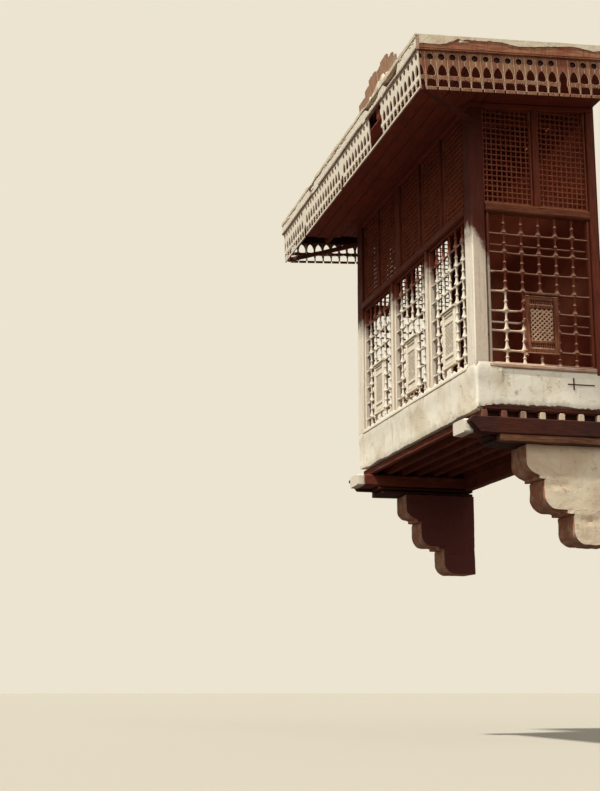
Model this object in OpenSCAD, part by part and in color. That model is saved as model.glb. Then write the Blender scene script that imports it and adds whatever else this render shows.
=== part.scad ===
// Oriel window with turned lattice on stone brackets, under a fretwork canopy.
// X runs along the front, the wall face is Y = 0, the front faces -Y and Z is up.
// The origin is the middle of the wall beam's back face.

/* [Body] */
// Width over the corner posts
body_w = 4000; // [3600:10:4600]
// Depth from the wall face to the front of the corner posts
body_d = 1380; // [1250:10:1600]
// Width of a corner post, along the front
corner_post_w = 220; // [160:5:280]
// Depth of a corner post
corner_post_d = 150; // [130:5:190]
// Width of a wall post, along the front
wall_post_w = 120; // [90:5:160]
// Depth of a wall post
wall_post_d = 90; // [60:5:130]
// Width of a mullion between two bays
mullion_w = 70; // [50:5:110]
// Depth of the mullions
mullion_d = 120; // [90:5:140]

/* [Floor] */
// Height of the wall beam and of the two side beams
beam_h = 170; // [140:5:210]
// Thickness of the wall beam
wall_beam_t = 110; // [80:5:150]
// Width of a side beam
side_beam_w = 120; // [90:5:160]
// How far a side beam stands out past the end of the body
side_beam_out = 100; // [60:5:120]
// How far a side beam's tip stands out in front of the body
side_beam_nose = 110; // [60:5:160]
// Width of a bracket beam, over each bracket
bracket_beam_w = 330; // [250:5:360]
// Height of a bracket beam
bracket_beam_h = 150; // [120:5:170]
// How far a bracket beam stands out in front of the body
bracket_beam_nose = 120; // [60:5:160]
// Thickness of the plank between a bracket and its beam
bearing_t = 90; // [50:5:120]
// How far a bearing plank stops short of the body's front
bearing_setback = 200; // [100:10:400]
// How far the bearing planks' outer edge lies inside a side beam's face
bearing_inset = 8; // [0:2:60]
// Height of a floor joist
joist_h = 90; // [70:5:120]
// Thickness of a floor joist
joist_t = 67; // [50:1:90]
// Distance from joist to joist
joist_pitch = 200; // [150:5:260]
// Distance from the body's front to the first joist's middle
joist_first = 90; // [80:5:95]
// Distance from the wall face to the last joist's middle
joist_last = 70; // [50:5:100]
// How far the joists stop short of the body's ends
joist_setback = 15; // [0:5:40]
// Thickness of the floor boards
floor_t = 30; // [20:1:45]

/* [Parapet] */
// Height of the parapet's top over the floor boards
parapet_h = 385; // [250:5:600]
// Thickness of the parapet
parapet_t = 120; // [90:5:140]
// Height of a sill
sill_h = 50; // [35:1:80]
// How far a sill or transom stands out in front of the posts
rail_proud = 15; // [5:1:25]

/* [Lower lattice] */
// Height of the lattice between sill and transom
lattice_h = 1558; // [1300:2:1900]
// Height of the bottom row of cells
bottom_cell_h = 145; // [110:5:180]
// Height of the top row of cells
top_cell_h = 213; // [180:1:240]
// Thickness across a spindle
spindle_t = 44; // [30:1:56]
// Thickness across a horizontal bar
bar_t = 36; // [24:1:44]
// Distance from the posts' face back to the lattice's middle
lattice_setback = 60; // [45:1:75]
// Height of a transom
transom_h = 92; // [70:2:130]

/* [Hatches] */
// Thickness of a hatch
hatch_t = 60; // [40:1:70]
// Width of a hatch stile
hatch_stile_w = 62; // [45:1:75]
// Height of a hatch's top rail
hatch_top_h = 62; // [45:1:75]
// Height of a hatch's bottom rail
hatch_bottom_h = 48; // [35:1:60]
// Height of a row of small balusters in a hatch
baluster_h = 52; // [40:1:60]
// Height of the narrow rails beside a baluster row
narrow_rail_h = 26; // [18:1:34]
// Thickness of a slat in the hatch's crossed panel
slat_t = 13; // [9:1:17]
// Distance from slat to slat, straight up
slat_pitch = 62; // [50:1:90]
// Slant of the slats
slat_angle = 47; // [40:1:55]

/* [Upper lattice] */
// Height of the upper lattice between transom and top plate
upper_h = 955; // [750:5:1200]
// Width of a slim upper mullion on the front
upper_mullion_w = 40; // [30:1:60]
// Width of the broad upper mullion on the front
broad_mullion_w = 170; // [120:5:220]
// Width of the upper mullion on each end
end_mullion_w = 70; // [50:5:100]
// Thickness of an upper lattice bar
upper_bar_t = 20; // [14:1:26]

/* [Canopy] */
// How far the hanging boards stand out from the body's ends
end_overhang = 740; // [500:10:900]
// How far the hanging boards stand out from the body's front
front_overhang = 795; // [500:5:950]
// How much higher the canopy lies at the wall than at its front edge
canopy_rise = 130; // [0:5:200]
// Height of the top plates
top_plate_h = 60; // [45:5:100]
// Thickness of the soffit boards
soffit_t = 25; // [18:1:35]
// Height of the canopy's beams
deck_beam_h = 200; // [150:5:240]
// Thickness of the canopy's beams
deck_beam_t = 90; // [60:5:120]
// Thickness of the roof boards
roof_t = 30; // [20:1:45]
// Thickness of the hanging boards
valance_t = 22; // [16:1:30]
// How far the hanging boards reach below the soffit
valance_drop = 240; // [150:5:300]
// How far the hanging boards reach above the soffit's underside
valance_rise = 150; // [100:5:165]
// Height of the fascia
fascia_h = 160; // [130:5:200]
// How far the fascia stands out in front of the hanging boards
fascia_proud = 20; // [10:1:35]
// Thickness of a corner strut
strut_t = 56; // [40:1:80]
// How high the tallest of the broken boards on the roof's front edge stands
stub_h = 400; // [200:10:450]
// Thickness of a broken board
stub_t = 28; // [20:1:40]

/* [Fretwork] */
// Width aimed at for one hanging board
fret_w = 115; // [95:1:140]
// Height of the strip along the bottom of the hanging boards
strip_h = 30; // [22:1:40]
// Size of the round hole, as a share of the board's width
fret_round = 0.5; // [0.4:0.02:0.6]

/* [Stone brackets] */
// Thickness of a bracket, along the front
bracket_w = 370; // [280:5:420]
// How far the top stone stands out from the wall
bracket_reach_1 = 880; // [780:10:960]
// How far the middle stone stands out from the wall
bracket_reach_2 = 695; // [600:5:740]
// How far the bottom stone stands out from the wall
bracket_reach_3 = 400; // [320:5:480]
// Height of one bracket stone
bracket_stone_h = 295; // [250:5:340]
// Height of the narrow step between two stones
bracket_step_h = 38; // [25:1:50]
// Radius of a stone's rounded nose
bracket_round = 135; // [90:5:160]

/* [Hidden] */

dark_wood = "#4a2c20";
lit_wood = "#cfc2a6";
worn_wood = "#8f6d55";
limewash = "#d8d0bb";
bracket_stone = "#b9a785";

half_w = body_w / 2;
bay_count = 3;
cells = 6;
bay_w = (body_w - 2 * corner_post_w - (bay_count - 1) * mullion_w) / bay_count;
end_bay_w = body_d - corner_post_d - wall_post_d;
// Heights of what lies on what, from the wall beam up
beam_top = beam_h / 2;
bearing_top = beam_top - bracket_beam_h;
bracket_top = bearing_top - bearing_t;
joist_top = beam_top + joist_h;
floor_top = joist_top + floor_t;
sill_bottom = floor_top + parapet_h;
lattice_bottom = sill_bottom + sill_h;
transom_bottom = lattice_bottom + lattice_h;
upper_bottom = transom_bottom + transom_h;
plate_bottom = upper_bottom + upper_h;
soffit_bottom = plate_bottom + top_plate_h;
deck_bottom = soffit_bottom + soffit_t;
roof_bottom = deck_bottom + deck_beam_h;
valance_bottom = soffit_bottom - valance_drop;
valance_top = soffit_bottom + valance_rise;
// The canopy's inner line, where the hanging boards' backs stand
eave_x = half_w + end_overhang - valance_t;
eave_y = body_d + front_overhang - valance_t;
// The canopy turns about its front edge by this angle, and is cut off plumb at the wall
canopy_fall = atan(canopy_rise / eave_y);
cut_spare = 2 * (deck_beam_h + canopy_rise);
// The lattice's rows and the hatch's place in them
lattice_rows = 6;
cell_h = (lattice_h - bottom_cell_h - top_cell_h) / lattice_rows;
rail_heights = [for (i = [0:lattice_rows]) bottom_cell_h + i * cell_h];
hatch_first_cell = 2;
hatch_cells = 2;
hatch_rows = 3;
hatch_h = hatch_rows * cell_h;
slats_beyond = 4;
// Upper panels: five on the front and two on each end
upper_panels = 5;
slim_mullions = 3;
panel_w = (body_w - 2 * corner_post_w - slim_mullions * upper_mullion_w - broad_mullion_w) / upper_panels;
end_panel_w = (end_bay_w - end_mullion_w) / 2;
upper_cols = 6;
upper_rows = 8;
bracket_x = half_w - bracket_w;
bracket_beam_x = half_w + side_beam_out - side_beam_w - bracket_beam_w;
// Boards that have gone from the canopy's front, counted from its right-hand end
lost_boards = [11, 12, 13];
broken_boards = [23, 38];
// Broken boards on the roof: distance from the right-hand eave, width, and share of the full height
roof_stub_places = [[670, 370, 0.6], [1000, 560, 1], [1490, 480, 0.72]];

// A bar of six sides along Z, or along X when flat
module bar(length, across, flat = false) {
    rotate(flat ? [0, 90, 0] : [0, 0, 0]) cylinder(h = length, d = across, $fn = 6);
}

// A block given by two opposite corners
module block(low, high) {
    translate(low) cube(high - low);
}

// What turns with the canopy about its front edge
module leaning() {
    translate([0, -eave_y, soffit_bottom]) rotate([canopy_fall, 0, 0])
        translate([0, eave_y, -soffit_bottom]) children();
}

// The same, cut off at the wall face
module canopy_part() {
    reach = 2 * eave_x;
    difference() {
        leaning() children();
        block([-reach, 0, valance_bottom - cut_spare], [reach, 2 * cut_spare, roof_bottom + 2 * cut_spare]);
    }
}

// What stands under the top plates is cut to their slope
module under_plates() {
    reach = 2 * eave_x;
    difference() {
        children();
        leaning() block([-reach, -2 * eave_y, plate_bottom], [reach, eave_y, plate_bottom + 2 * cut_spare]);
    }
}

// The same shape on the left and on the right
module both_sides() {
    children();
    mirror([1, 0, 0]) children();
}

// What is drawn in the front's plane, from a left-hand end, put on the front
module on_front(x, z) {
    translate([x, -body_d, z]) children();
}

// The same put on an end wall, running from the corner post to the wall post
module on_end(side, along, z) {
    mirror([side < 0 ? 1 : 0, 0, 0])
        translate([half_w, -body_d + corner_post_d + along, z]) rotate([0, 0, 90]) children();
}

module wall_beam() {
    color(dark_wood)
        block([-bracket_beam_x, -wall_beam_t, -beam_h / 2], [bracket_beam_x, 0, beam_top]);
}

module head_beam() {
    color(dark_wood) canopy_part() block([-half_w + wall_post_w, -wall_post_d, plate_bottom],
                                         [half_w - wall_post_w, cut_spare, deck_bottom]);
}

// One stone of a bracket in side view, with its top at z = 0
module stone_outline(reach) {
    nose = [reach - bracket_round, bracket_round - bracket_stone_h];
    translate([0, -bracket_stone_h]) square([reach - bracket_round, bracket_stone_h]);
    translate([0, nose[1]]) square([reach, -nose[1]]);
    translate(nose) circle(r = bracket_round, $fn = 64);
}

module bracket_outline() {
    reaches = [bracket_reach_1, bracket_reach_2, bracket_reach_3];
    for (i = [0:2]) {
        drop = i * (bracket_stone_h + bracket_step_h);
        translate([0, -drop]) stone_outline(reaches[i]);
        if (i < 2) {
            step_reach = min(reaches[i + 1] + bracket_round / 2, reaches[i] - bracket_round);
            translate([0, -drop - bracket_stone_h - bracket_step_h])
                square([step_reach, bracket_step_h]);
        }
    }
}

module bracket() {
    color(bracket_stone) translate([bracket_x, 0, bracket_top])
        mirror([0, 1, 0]) rotate([90, 0, 90]) linear_extrude(bracket_w) bracket_outline();
}

module left_bracket() {
    mirror([1, 0, 0]) bracket();
}

module right_bracket() {
    bracket();
}

// The lower planks run on outward below the side beam
module bearing_planks() {
    outer = half_w + side_beam_out - bearing_inset;
    color(dark_wood) both_sides() {
        block([bracket_beam_x, -body_d + bearing_setback, bracket_top],
              [bracket_beam_x + bracket_beam_w, 0, bearing_top]);
        block([bracket_beam_x, -body_d + bearing_setback, bracket_top], [outer, 0, -beam_h / 2]);
    }
}

module bracket_beams() {
    color(dark_wood) both_sides()
        block([bracket_beam_x, -body_d - bracket_beam_nose, bearing_top],
              [bracket_beam_x + bracket_beam_w, 0, beam_top]);
}

// A side beam in side view, with its tip cut back above and below
module side_beam_outline() {
    tip = body_d + side_beam_nose;
    top_cut = beam_h / 4;
    polygon([[0, -beam_h / 2], [tip - side_beam_nose, -beam_h / 2], [tip, beam_top - top_cut],
             [tip - top_cut, beam_top], [0, beam_top]]);
}

module side_beam() {
    color(worn_wood) translate([half_w + side_beam_out - side_beam_w, 0, 0])
        mirror([0, 1, 0]) rotate([90, 0, 90]) linear_extrude(side_beam_w) side_beam_outline();
}

module left_side_beam() {
    mirror([1, 0, 0]) side_beam();
}

module right_side_beam() {
    side_beam();
}

module floor_joists() {
    reach = half_w - joist_setback;
    span = body_d - joist_first - joist_last;
    count = max(2, round(span / joist_pitch) + 1);
    color(worn_wood) for (i = [0:count - 1]) {
        y = -body_d + joist_first + i * span / (count - 1);
        block([-reach, y - joist_t / 2, beam_top], [reach, y + joist_t / 2, joist_top]);
    }
}

module floor_boards() {
    color(dark_wood) block([-half_w + joist_setback, -body_d + parapet_t, joist_top],
                           [half_w - joist_setback, 0, floor_top]);
}

module front_parapet() {
    color(limewash) block([-half_w, -body_d, joist_top], [half_w, -body_d + parapet_t, sill_bottom]);
}

module end_parapet() {
    color(limewash) block([half_w - parapet_t, -body_d + parapet_t, floor_top],
                          [half_w, 0, sill_bottom]);
}

module left_parapet() {
    mirror([1, 0, 0]) end_parapet();
}

module right_parapet() {
    end_parapet();
}

module corner_post() {
    color(lit_wood) under_plates() block([half_w - corner_post_w, -body_d, sill_bottom],
                                         [half_w, -body_d + corner_post_d, soffit_bottom + canopy_rise]);
}

module left_corner_post() {
    mirror([1, 0, 0]) corner_post();
}

module right_corner_post() {
    corner_post();
}

module wall_posts() {
    color(dark_wood) both_sides() under_plates()
        block([half_w - wall_post_w, -wall_post_d, sill_bottom],
              [half_w, 0, soffit_bottom + canopy_rise]);
}

module front_mullions() {
    color(lit_wood) both_sides() on_front(bay_w / 2, lattice_bottom)
        cube([mullion_w, mullion_d, lattice_h]);
}

// A rail in the plane of a side, a little proud of the posts, with its top edge cut back
module proud_rail(length, height) {
    depth = parapet_t + rail_proud;
    color(worn_wood) translate([length, -rail_proud, 0]) rotate([0, -90, 0]) linear_extrude(length)
        polygon([[0, 0], [0, depth], [height, depth], [height, rail_proud],
                 [height - rail_proud, 0]]);
}

module front_sill() {
    on_front(-half_w + corner_post_w, sill_bottom) proud_rail(body_w - 2 * corner_post_w, sill_h);
}

module end_sills() {
    for (side = [-1, 1]) on_end(side, 0, sill_bottom) proud_rail(end_bay_w, sill_h);
}

module front_transom() {
    on_front(-half_w + corner_post_w, transom_bottom)
        proud_rail(body_w - 2 * corner_post_w, transom_h);
}

module end_transoms() {
    for (side = [-1, 1]) on_end(side, 0, transom_bottom) proud_rail(end_bay_w, transom_h);
}

// A bay of lattice from its lower left corner, open where the hatch hangs
module lattice(width) {
    cell_w = width / cells;
    color(lit_wood) translate([0, lattice_setback, 0]) difference() {
        union() {
            for (i = [1:cells - 1]) translate([i * cell_w, 0, 0]) bar(lattice_h, spindle_t);
            for (z = rail_heights) translate([0, 0, z]) bar(width, bar_t, flat = true);
        }
        translate([hatch_first_cell * cell_w, -spindle_t, rail_heights[0]])
            cube([hatch_cells * cell_w, 2 * spindle_t, hatch_h]);
    }
}

module front_lattice(bay) {
    on_front(-bay_w / 2 + bay * (bay_w + mullion_w), lattice_bottom) lattice(bay_w);
}

module front_left_lattice() {
    front_lattice(-1);
}

module front_middle_lattice() {
    front_lattice(0);
}

module front_right_lattice() {
    front_lattice(1);
}

module left_end_lattice() {
    on_end(-1, 0, lattice_bottom) lattice(end_bay_w);
}

module right_end_lattice() {
    on_end(1, 0, lattice_bottom) lattice(end_bay_w);
}

// Slats that cross at a slant and fill a panel
module crossed_slats(width, height) {
    reach = width + height;
    last = ceil(height / slat_pitch) + slats_beyond;
    intersection() {
        square([width, height]);
        for (way = [-1, 1], i = [-slats_beyond:last])
            translate([width / 2, i * slat_pitch]) rotate(way * slat_angle)
                square([reach, slat_t], center = true);
    }
}

// A hatch in front view, from its lower left corner
module hatch_outline(width) {
    inner_w = width - 2 * hatch_stile_w;
    low_row = hatch_bottom_h;
    panel_low = low_row + baluster_h + narrow_rail_h;
    high_row = hatch_h - hatch_top_h - baluster_h;
    panel_h = high_row - narrow_rail_h - panel_low;
    balusters = 4;
    difference() {
        square([width, hatch_h]);
        for (z = [low_row, high_row]) translate([hatch_stile_w, z]) square([inner_w, baluster_h]);
        translate([hatch_stile_w, panel_low]) square([inner_w, panel_h]);
    }
    for (z = [low_row, high_row], i = [1:balusters])
        translate([hatch_stile_w + i * inner_w / (balusters + 1) - slat_t / 2, z])
            square([slat_t, baluster_h]);
    translate([hatch_stile_w, panel_low]) crossed_slats(inner_w, panel_h);
}

module hatch(width) {
    cell_w = width / cells;
    color(lit_wood)
        translate([hatch_first_cell * cell_w, lattice_setback + hatch_t / 2, rail_heights[0]])
            rotate([90, 0, 0]) linear_extrude(hatch_t) hatch_outline(hatch_cells * cell_w);
}

module front_hatch(bay) {
    on_front(-bay_w / 2 + bay * (bay_w + mullion_w), lattice_bottom) hatch(bay_w);
}

module front_left_hatch() {
    front_hatch(-1);
}

module front_middle_hatch() {
    front_hatch(0);
}

module front_right_hatch() {
    front_hatch(1);
}

module left_end_hatch() {
    on_end(-1, 0, lattice_bottom) hatch(end_bay_w);
}

module right_end_hatch() {
    on_end(1, 0, lattice_bottom) hatch(end_bay_w);
}

// Where each upper panel of the front starts; the broad mullion follows the second panel
function panel_x(i) = -half_w + corner_post_w + i * panel_w
    + (i < 2 ? i * upper_mullion_w : broad_mullion_w + (i - 1) * upper_mullion_w);

module upper_mullions() {
    tall = upper_h + canopy_rise;
    color(dark_wood) under_plates() {
        for (i = [0:upper_panels - 2]) on_front(panel_x(i) + panel_w, upper_bottom)
            cube([panel_x(i + 1) - panel_x(i) - panel_w, mullion_d, tall]);
        for (side = [-1, 1]) on_end(side, end_panel_w, upper_bottom)
            cube([end_mullion_w, mullion_d, tall]);
    }
}

// One upper panel of crossed bars
module upper_panel(width) {
    rows = upper_h / upper_rows;
    cols = width / upper_cols;
    color(dark_wood) translate([0, lattice_setback - upper_bar_t / 2, 0]) {
        for (i = [1:upper_cols - 1]) translate([i * cols - upper_bar_t / 2, 0, 0])
            cube([upper_bar_t, upper_bar_t, upper_h + canopy_rise]);
        for (i = [1:upper_rows]) translate([0, 0, i * rows - upper_bar_t / 2])
            cube([width, upper_bar_t, upper_bar_t]);
    }
}

module front_left_upper_lattice() {
    under_plates() for (i = [0, 1]) on_front(panel_x(i), upper_bottom) upper_panel(panel_w);
}

module front_right_upper_lattice() {
    under_plates() for (i = [2, 3, 4]) on_front(panel_x(i), upper_bottom) upper_panel(panel_w);
}

module end_upper_lattice(side) {
    under_plates() for (along = [0, end_panel_w + end_mullion_w])
        on_end(side, along, upper_bottom) upper_panel(end_panel_w);
}

module left_upper_lattice() {
    end_upper_lattice(-1);
}

module right_upper_lattice() {
    end_upper_lattice(1);
}

module front_top_plate() {
    color(dark_wood) canopy_part() block([-half_w, -body_d, plate_bottom],
                                         [half_w, -body_d + corner_post_d, soffit_bottom]);
}

module end_top_plates() {
    color(dark_wood) canopy_part() both_sides()
        block([half_w - wall_post_w, -body_d + corner_post_d, plate_bottom],
              [half_w, cut_spare, soffit_bottom]);
}

module front_soffit() {
    color(dark_wood) canopy_part() block([-eave_x, -eave_y, soffit_bottom],
                                         [eave_x, -body_d + corner_post_d, deck_bottom]);
}

module end_soffits() {
    color(dark_wood) canopy_part() both_sides()
        block([half_w - wall_post_w, -body_d + corner_post_d, soffit_bottom],
              [eave_x, cut_spare, deck_bottom]);
}

module deck_beams() {
    count = 8;
    pitch = (body_w - deck_beam_t) / (count - 1);
    color(dark_wood) canopy_part() for (i = [0:count - 1])
        block([-half_w + i * pitch, -eave_y, deck_bottom],
              [-half_w + i * pitch + deck_beam_t, cut_spare, roof_bottom]);
}

module end_outriggers() {
    count = 5;
    pitch = (eave_y - deck_beam_t) / (count - 1);
    color(dark_wood) canopy_part() both_sides() for (i = [0:count - 1])
        block([half_w, -eave_y + i * pitch, deck_bottom],
              [eave_x, -eave_y + i * pitch + deck_beam_t, roof_bottom]);
}

module roof_boards() {
    color(worn_wood) canopy_part()
        block([-eave_x, -eave_y, roof_bottom], [eave_x, cut_spare, roof_bottom + roof_t]);
}

module front_fascia() {
    out = valance_t + fascia_proud;
    color(lit_wood) canopy_part() block([-eave_x - out, -eave_y - out, valance_top],
                                        [eave_x + out, -eave_y, valance_top + fascia_h]);
}

module end_fascias() {
    color(worn_wood) canopy_part() both_sides()
        block([eave_x, -eave_y, valance_top],
              [eave_x + valance_t + fascia_proud, cut_spare, valance_top + fascia_h]);
}

// The holes of one hanging board, drawn down from its top middle
module fret_holes(w, h) {
    belly = h * 0.26;
    bell_low = h * 0.66;
    foot_top = h * 0.74;
    translate([0, -h * 0.16]) circle(d = w * fret_round, $fn = 8);
    polygon([[0, -h * 0.36], [-w * 0.2, -h * 0.46], [-w * 0.31, -bell_low + h * 0.06],
             [-w * 0.31, -bell_low], [w * 0.31, -bell_low], [w * 0.31, -bell_low + h * 0.06],
             [w * 0.2, -h * 0.46]]);
    polygon([[0, -foot_top], [-w * 0.24, -foot_top - h * 0.06], [-w * 0.38, -h + strip_h],
             [w * 0.38, -h + strip_h], [w * 0.24, -foot_top - h * 0.06]]);
}

// A run of hanging boards in front view, from its left-hand end; lost boards leave the strip
module fret_run(length, lost = [], broken = []) {
    count = max(2, round(length / fret_w));
    w = length / count;
    h = valance_top - valance_bottom;
    difference() {
        square([length, h]);
        for (i = [0:count - 1]) translate([(i + 0.5) * w, h]) {
            if (len(search(i, lost)) > 0)
                translate([-w / 2, -h + strip_h]) square([w, h - strip_h]);
            else if (len(search(i, broken)) > 0)
                translate([-w * 0.4, -h]) square([w * 0.8, h * 0.7]);
            else
                fret_holes(w, h);
        }
    }
}

module front_valance() {
    length = 2 * (eave_x + valance_t);
    count = max(2, round(length / fret_w));
    color(lit_wood) canopy_part() translate([-length / 2, -eave_y, valance_bottom])
        rotate([90, 0, 0]) linear_extrude(valance_t)
            fret_run(length, [for (i = lost_boards) count - 1 - i],
                     [for (i = broken_boards) count - 1 - i]);
}

module end_valance() {
    color(worn_wood) canopy_part() translate([eave_x, -eave_y, valance_bottom])
        rotate([90, 0, 90]) linear_extrude(valance_t) fret_run(eave_y + fret_w);
}

module left_valance() {
    mirror([1, 0, 0]) end_valance();
}

module right_valance() {
    end_valance();
}

// Struts from the corner posts out to the hanging boards' corners
module corner_struts() {
    length = sqrt(2) * (max(end_overhang, front_overhang) - valance_t) + strut_t;
    color(dark_wood) both_sides() difference() {
        leaning() intersection() {
            translate([half_w, -body_d, valance_bottom]) rotate([0, 0, -45])
                translate([-strut_t / 2, -strut_t / 2, 0]) cube([length, strut_t, strut_t]);
            block([0, -eave_y, 0], [eave_x, 0, soffit_bottom]);
        }
        block([0, -body_d, 0], [half_w, 0, soffit_bottom + canopy_rise]);
    }
}

// Broken boards that stand on the roof's front edge, one behind the other in turn
module roof_stubs() {
    color(worn_wood) leaning() for (i = [0:len(roof_stub_places) - 1]) {
        w = roof_stub_places[i][1];
        h = stub_h * roof_stub_places[i][2];
        translate([eave_x - roof_stub_places[i][0] - w, -eave_y + stub_t * (1 + i % 2), roof_bottom + roof_t])
            rotate([90, 0, 0]) linear_extrude(stub_t)
                polygon([[0, 0], [w, 0], [w, h * 0.7], [w * 0.62, h], [w * 0.45, h * 0.86], [0, h * 0.66]]);
    }
}

wall_beam();
head_beam();
left_bracket();
right_bracket();
bearing_planks();
bracket_beams();
left_side_beam();
right_side_beam();
floor_joists();
floor_boards();
front_parapet();
left_parapet();
right_parapet();
left_corner_post();
right_corner_post();
wall_posts();
front_mullions();
front_sill();
end_sills();
front_transom();
end_transoms();
front_left_lattice();
front_middle_lattice();
front_right_lattice();
left_end_lattice();
right_end_lattice();
front_left_hatch();
front_middle_hatch();
front_right_hatch();
left_end_hatch();
right_end_hatch();
upper_mullions();
front_left_upper_lattice();
front_right_upper_lattice();
left_upper_lattice();
right_upper_lattice();
front_top_plate();
end_top_plates();
front_soffit();
end_soffits();
deck_beams();
end_outriggers();
roof_boards();
front_fascia();
end_fascias();
front_valance();
left_valance();
right_valance();
corner_struts();
roof_stubs();
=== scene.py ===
import math

import bmesh
import bpy
import numpy as np
from mathutils import Matrix, Vector, noise


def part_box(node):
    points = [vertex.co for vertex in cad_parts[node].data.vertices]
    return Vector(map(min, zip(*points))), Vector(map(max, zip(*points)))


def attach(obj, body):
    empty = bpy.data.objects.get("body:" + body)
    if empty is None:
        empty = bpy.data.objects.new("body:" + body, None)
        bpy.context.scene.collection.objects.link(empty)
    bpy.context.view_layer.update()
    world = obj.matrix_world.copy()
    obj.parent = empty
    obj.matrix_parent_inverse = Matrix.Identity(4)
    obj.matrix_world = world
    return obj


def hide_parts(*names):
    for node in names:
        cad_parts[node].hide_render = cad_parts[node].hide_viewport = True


bl_info = {
    "name": "Lattice oriel window",
    "version": (1, 0, 0),
    "blender": (4, 5, 0),
    "location": "View3D > Sidebar > Oriel",
    "description": "Dresses the solids of an oriel window with turned lattice, fretwork, plaster and stone",
    "category": "Object",
}

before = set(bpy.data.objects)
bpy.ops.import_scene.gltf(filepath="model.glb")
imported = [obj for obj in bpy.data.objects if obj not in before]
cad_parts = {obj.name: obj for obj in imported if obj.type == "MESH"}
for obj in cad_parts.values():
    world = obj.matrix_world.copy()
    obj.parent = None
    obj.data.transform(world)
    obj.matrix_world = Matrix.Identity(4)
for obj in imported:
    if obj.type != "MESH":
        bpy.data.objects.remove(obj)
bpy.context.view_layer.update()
BODY = "root"
# Blender starts the noise behind the wear from the clock, unless it is given a seed
WEAR_SEED = 7
noise.seed_set(WEAR_SEED)

# Places read from the solids, in metres
post_low, post_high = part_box("right_corner_post")
sill_low, sill_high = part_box("front_sill")
transom_low, transom_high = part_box("front_transom")
middle_low, middle_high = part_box("front_middle_lattice")
end_low, end_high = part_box("right_end_lattice")
parapet_low, parapet_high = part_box("front_parapet")
end_parapet_low, end_parapet_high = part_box("right_parapet")
hatch_low, hatch_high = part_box("front_middle_hatch")
plate_low, plate_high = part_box("front_top_plate")
soffit_low, soffit_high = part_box("front_soffit")
bracket_low, bracket_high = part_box("right_bracket")

HALF = post_high.x
FRONT = post_low.y
BAY = middle_high.x - middle_low.x
BAY_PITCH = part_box("front_right_lattice")[0].x - middle_low.x
CELLS = 6
CELL = BAY / CELLS
ROW = (hatch_high.z - hatch_low.z) / 3
# An end bay starts this far behind the corner post
END_JOINT = 0.027
LATTICE_Y = (middle_low.y + middle_high.y) / 2
LATTICE_X = (end_low.x + end_high.x) / 2
SLAT_SLOPE = 0.95
# Width of the posts, plates and upper mullions that stand at the wall and on the ends
UPRIGHT = 0.12
# Half the gap between two boards
SEAM = 0.002

# The canopy leans about the lower front edge of its soffit
CANOPY_RISE = 0.130
EAVE_X = soffit_high.x
EAVE_Y = -FRONT + 0.773
SOFFIT = soffit_low.z
LEAN = math.atan2(CANOPY_RISE, EAVE_Y)
PLATE = plate_high.z - plate_low.z - (plate_high.y - plate_low.y) * math.sin(LEAN)
HANG_TOP = SOFFIT + 0.150
HANG_LOW = SOFFIT - 0.240
DECK = SOFFIT + 0.025
ROOF = DECK + 0.200
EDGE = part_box("right_valance")[1].x
FASCIA_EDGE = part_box("front_fascia")[1].x
FASCIA_OUT = FASCIA_EDGE - EAVE_X
FASCIA_TOP = HANG_TOP + 0.160
WALL_TOP = SOFFIT + CANOPY_RISE
# How far leaning pieces run past the wall face before they are cut off there
PAST_WALL = 0.05
# Above a line of this slope the wood takes its sheltered colours: the canopy's cast shadow painted into the
# wood, which also stands for the sun and rain the canopy has kept off it
SHADOW_AND_SHELTER_SLOPE = 1.86


def srgb(r, g, b):
    """A colour as read on screen, 0 to 255, turned into Blender's linear values."""
    linear = (((c / 255 + 0.055) / 1.055) ** 2.4 if c > 10.3 else c / 255 / 12.92 for c in (r, g, b))
    return (*linear, 1.0)


def wave(*place):
    """Smooth noise from -1 to 1 at a place."""
    return noise.noise(Vector(place))


def wander(points, size, amount, seed=0.0):
    """Smooth noise vectors at the points, for worn or hand-laid surfaces."""
    shift = Vector((seed * 7.3, seed * 3.1, seed * 5.7))
    return np.array([noise.noise_vector(Vector(p) / size + shift) for p in points]) * amount


def moved(points, matrix):
    """The points after a move or a turn."""
    m = np.array(matrix)
    return points @ m[:3, :3].T + m[:3, 3]


def mirror(side, a, b):
    """A stretch of X on the right-hand side, or its mirror image on the left."""
    return sorted((side * a, side * b))


def flipped(faces):
    """The faces seen from their other side."""
    return [tuple(reversed(f)) for f in faces]


class Pile:
    """Collects points and faces, and makes one mesh of them."""

    def __init__(self):
        self.points, self.faces, self.tags = [], [], []
        self.count = 0

    def add(self, points, faces, tag=0):
        self.points.append(np.asarray(points, float))
        self.faces += [tuple(i + self.count for i in f) for f in faces]
        self.tags += tag if isinstance(tag, list) else [tag] * len(faces)
        self.count += len(points)

    def bar(self, low, high, wear, chamfer, step, seed=0.0, tag=0, bend=None):
        """Adds a worn timber between two corners, and bends it where the canopy asks for that."""
        points, faces = timber(low, high, wear, chamfer, step, seed)
        self.add(bend(points) if bend else points, faces, tag)

    def put(self, matrix, points, faces, tag=0):
        """Adds a shape drawn in a plane of its own."""
        self.add(moved(points, matrix), flipped(faces) if matrix.determinant() < 0 else faces, tag)

    def build(self, name, finishes, shading, replaces=""):
        mesh = bpy.data.meshes.new(name)
        mesh.from_pydata(np.concatenate(self.points).tolist(), [], self.faces)
        for key in finishes.split():
            mesh.materials.append(FINISH[key])
        mesh.polygons.foreach_set("material_index", self.tags)
        mesh.update()
        piece = bpy.data.objects.new(name, mesh)
        bpy.context.scene.collection.objects.link(piece)
        if shading != "flat":
            mesh.shade_smooth()
        if shading == "auto":
            mesh.set_sharp_from_angle(angle=math.radians(38))
        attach(piece, BODY)
        if replaces:
            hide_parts(*replaces.split())


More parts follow.
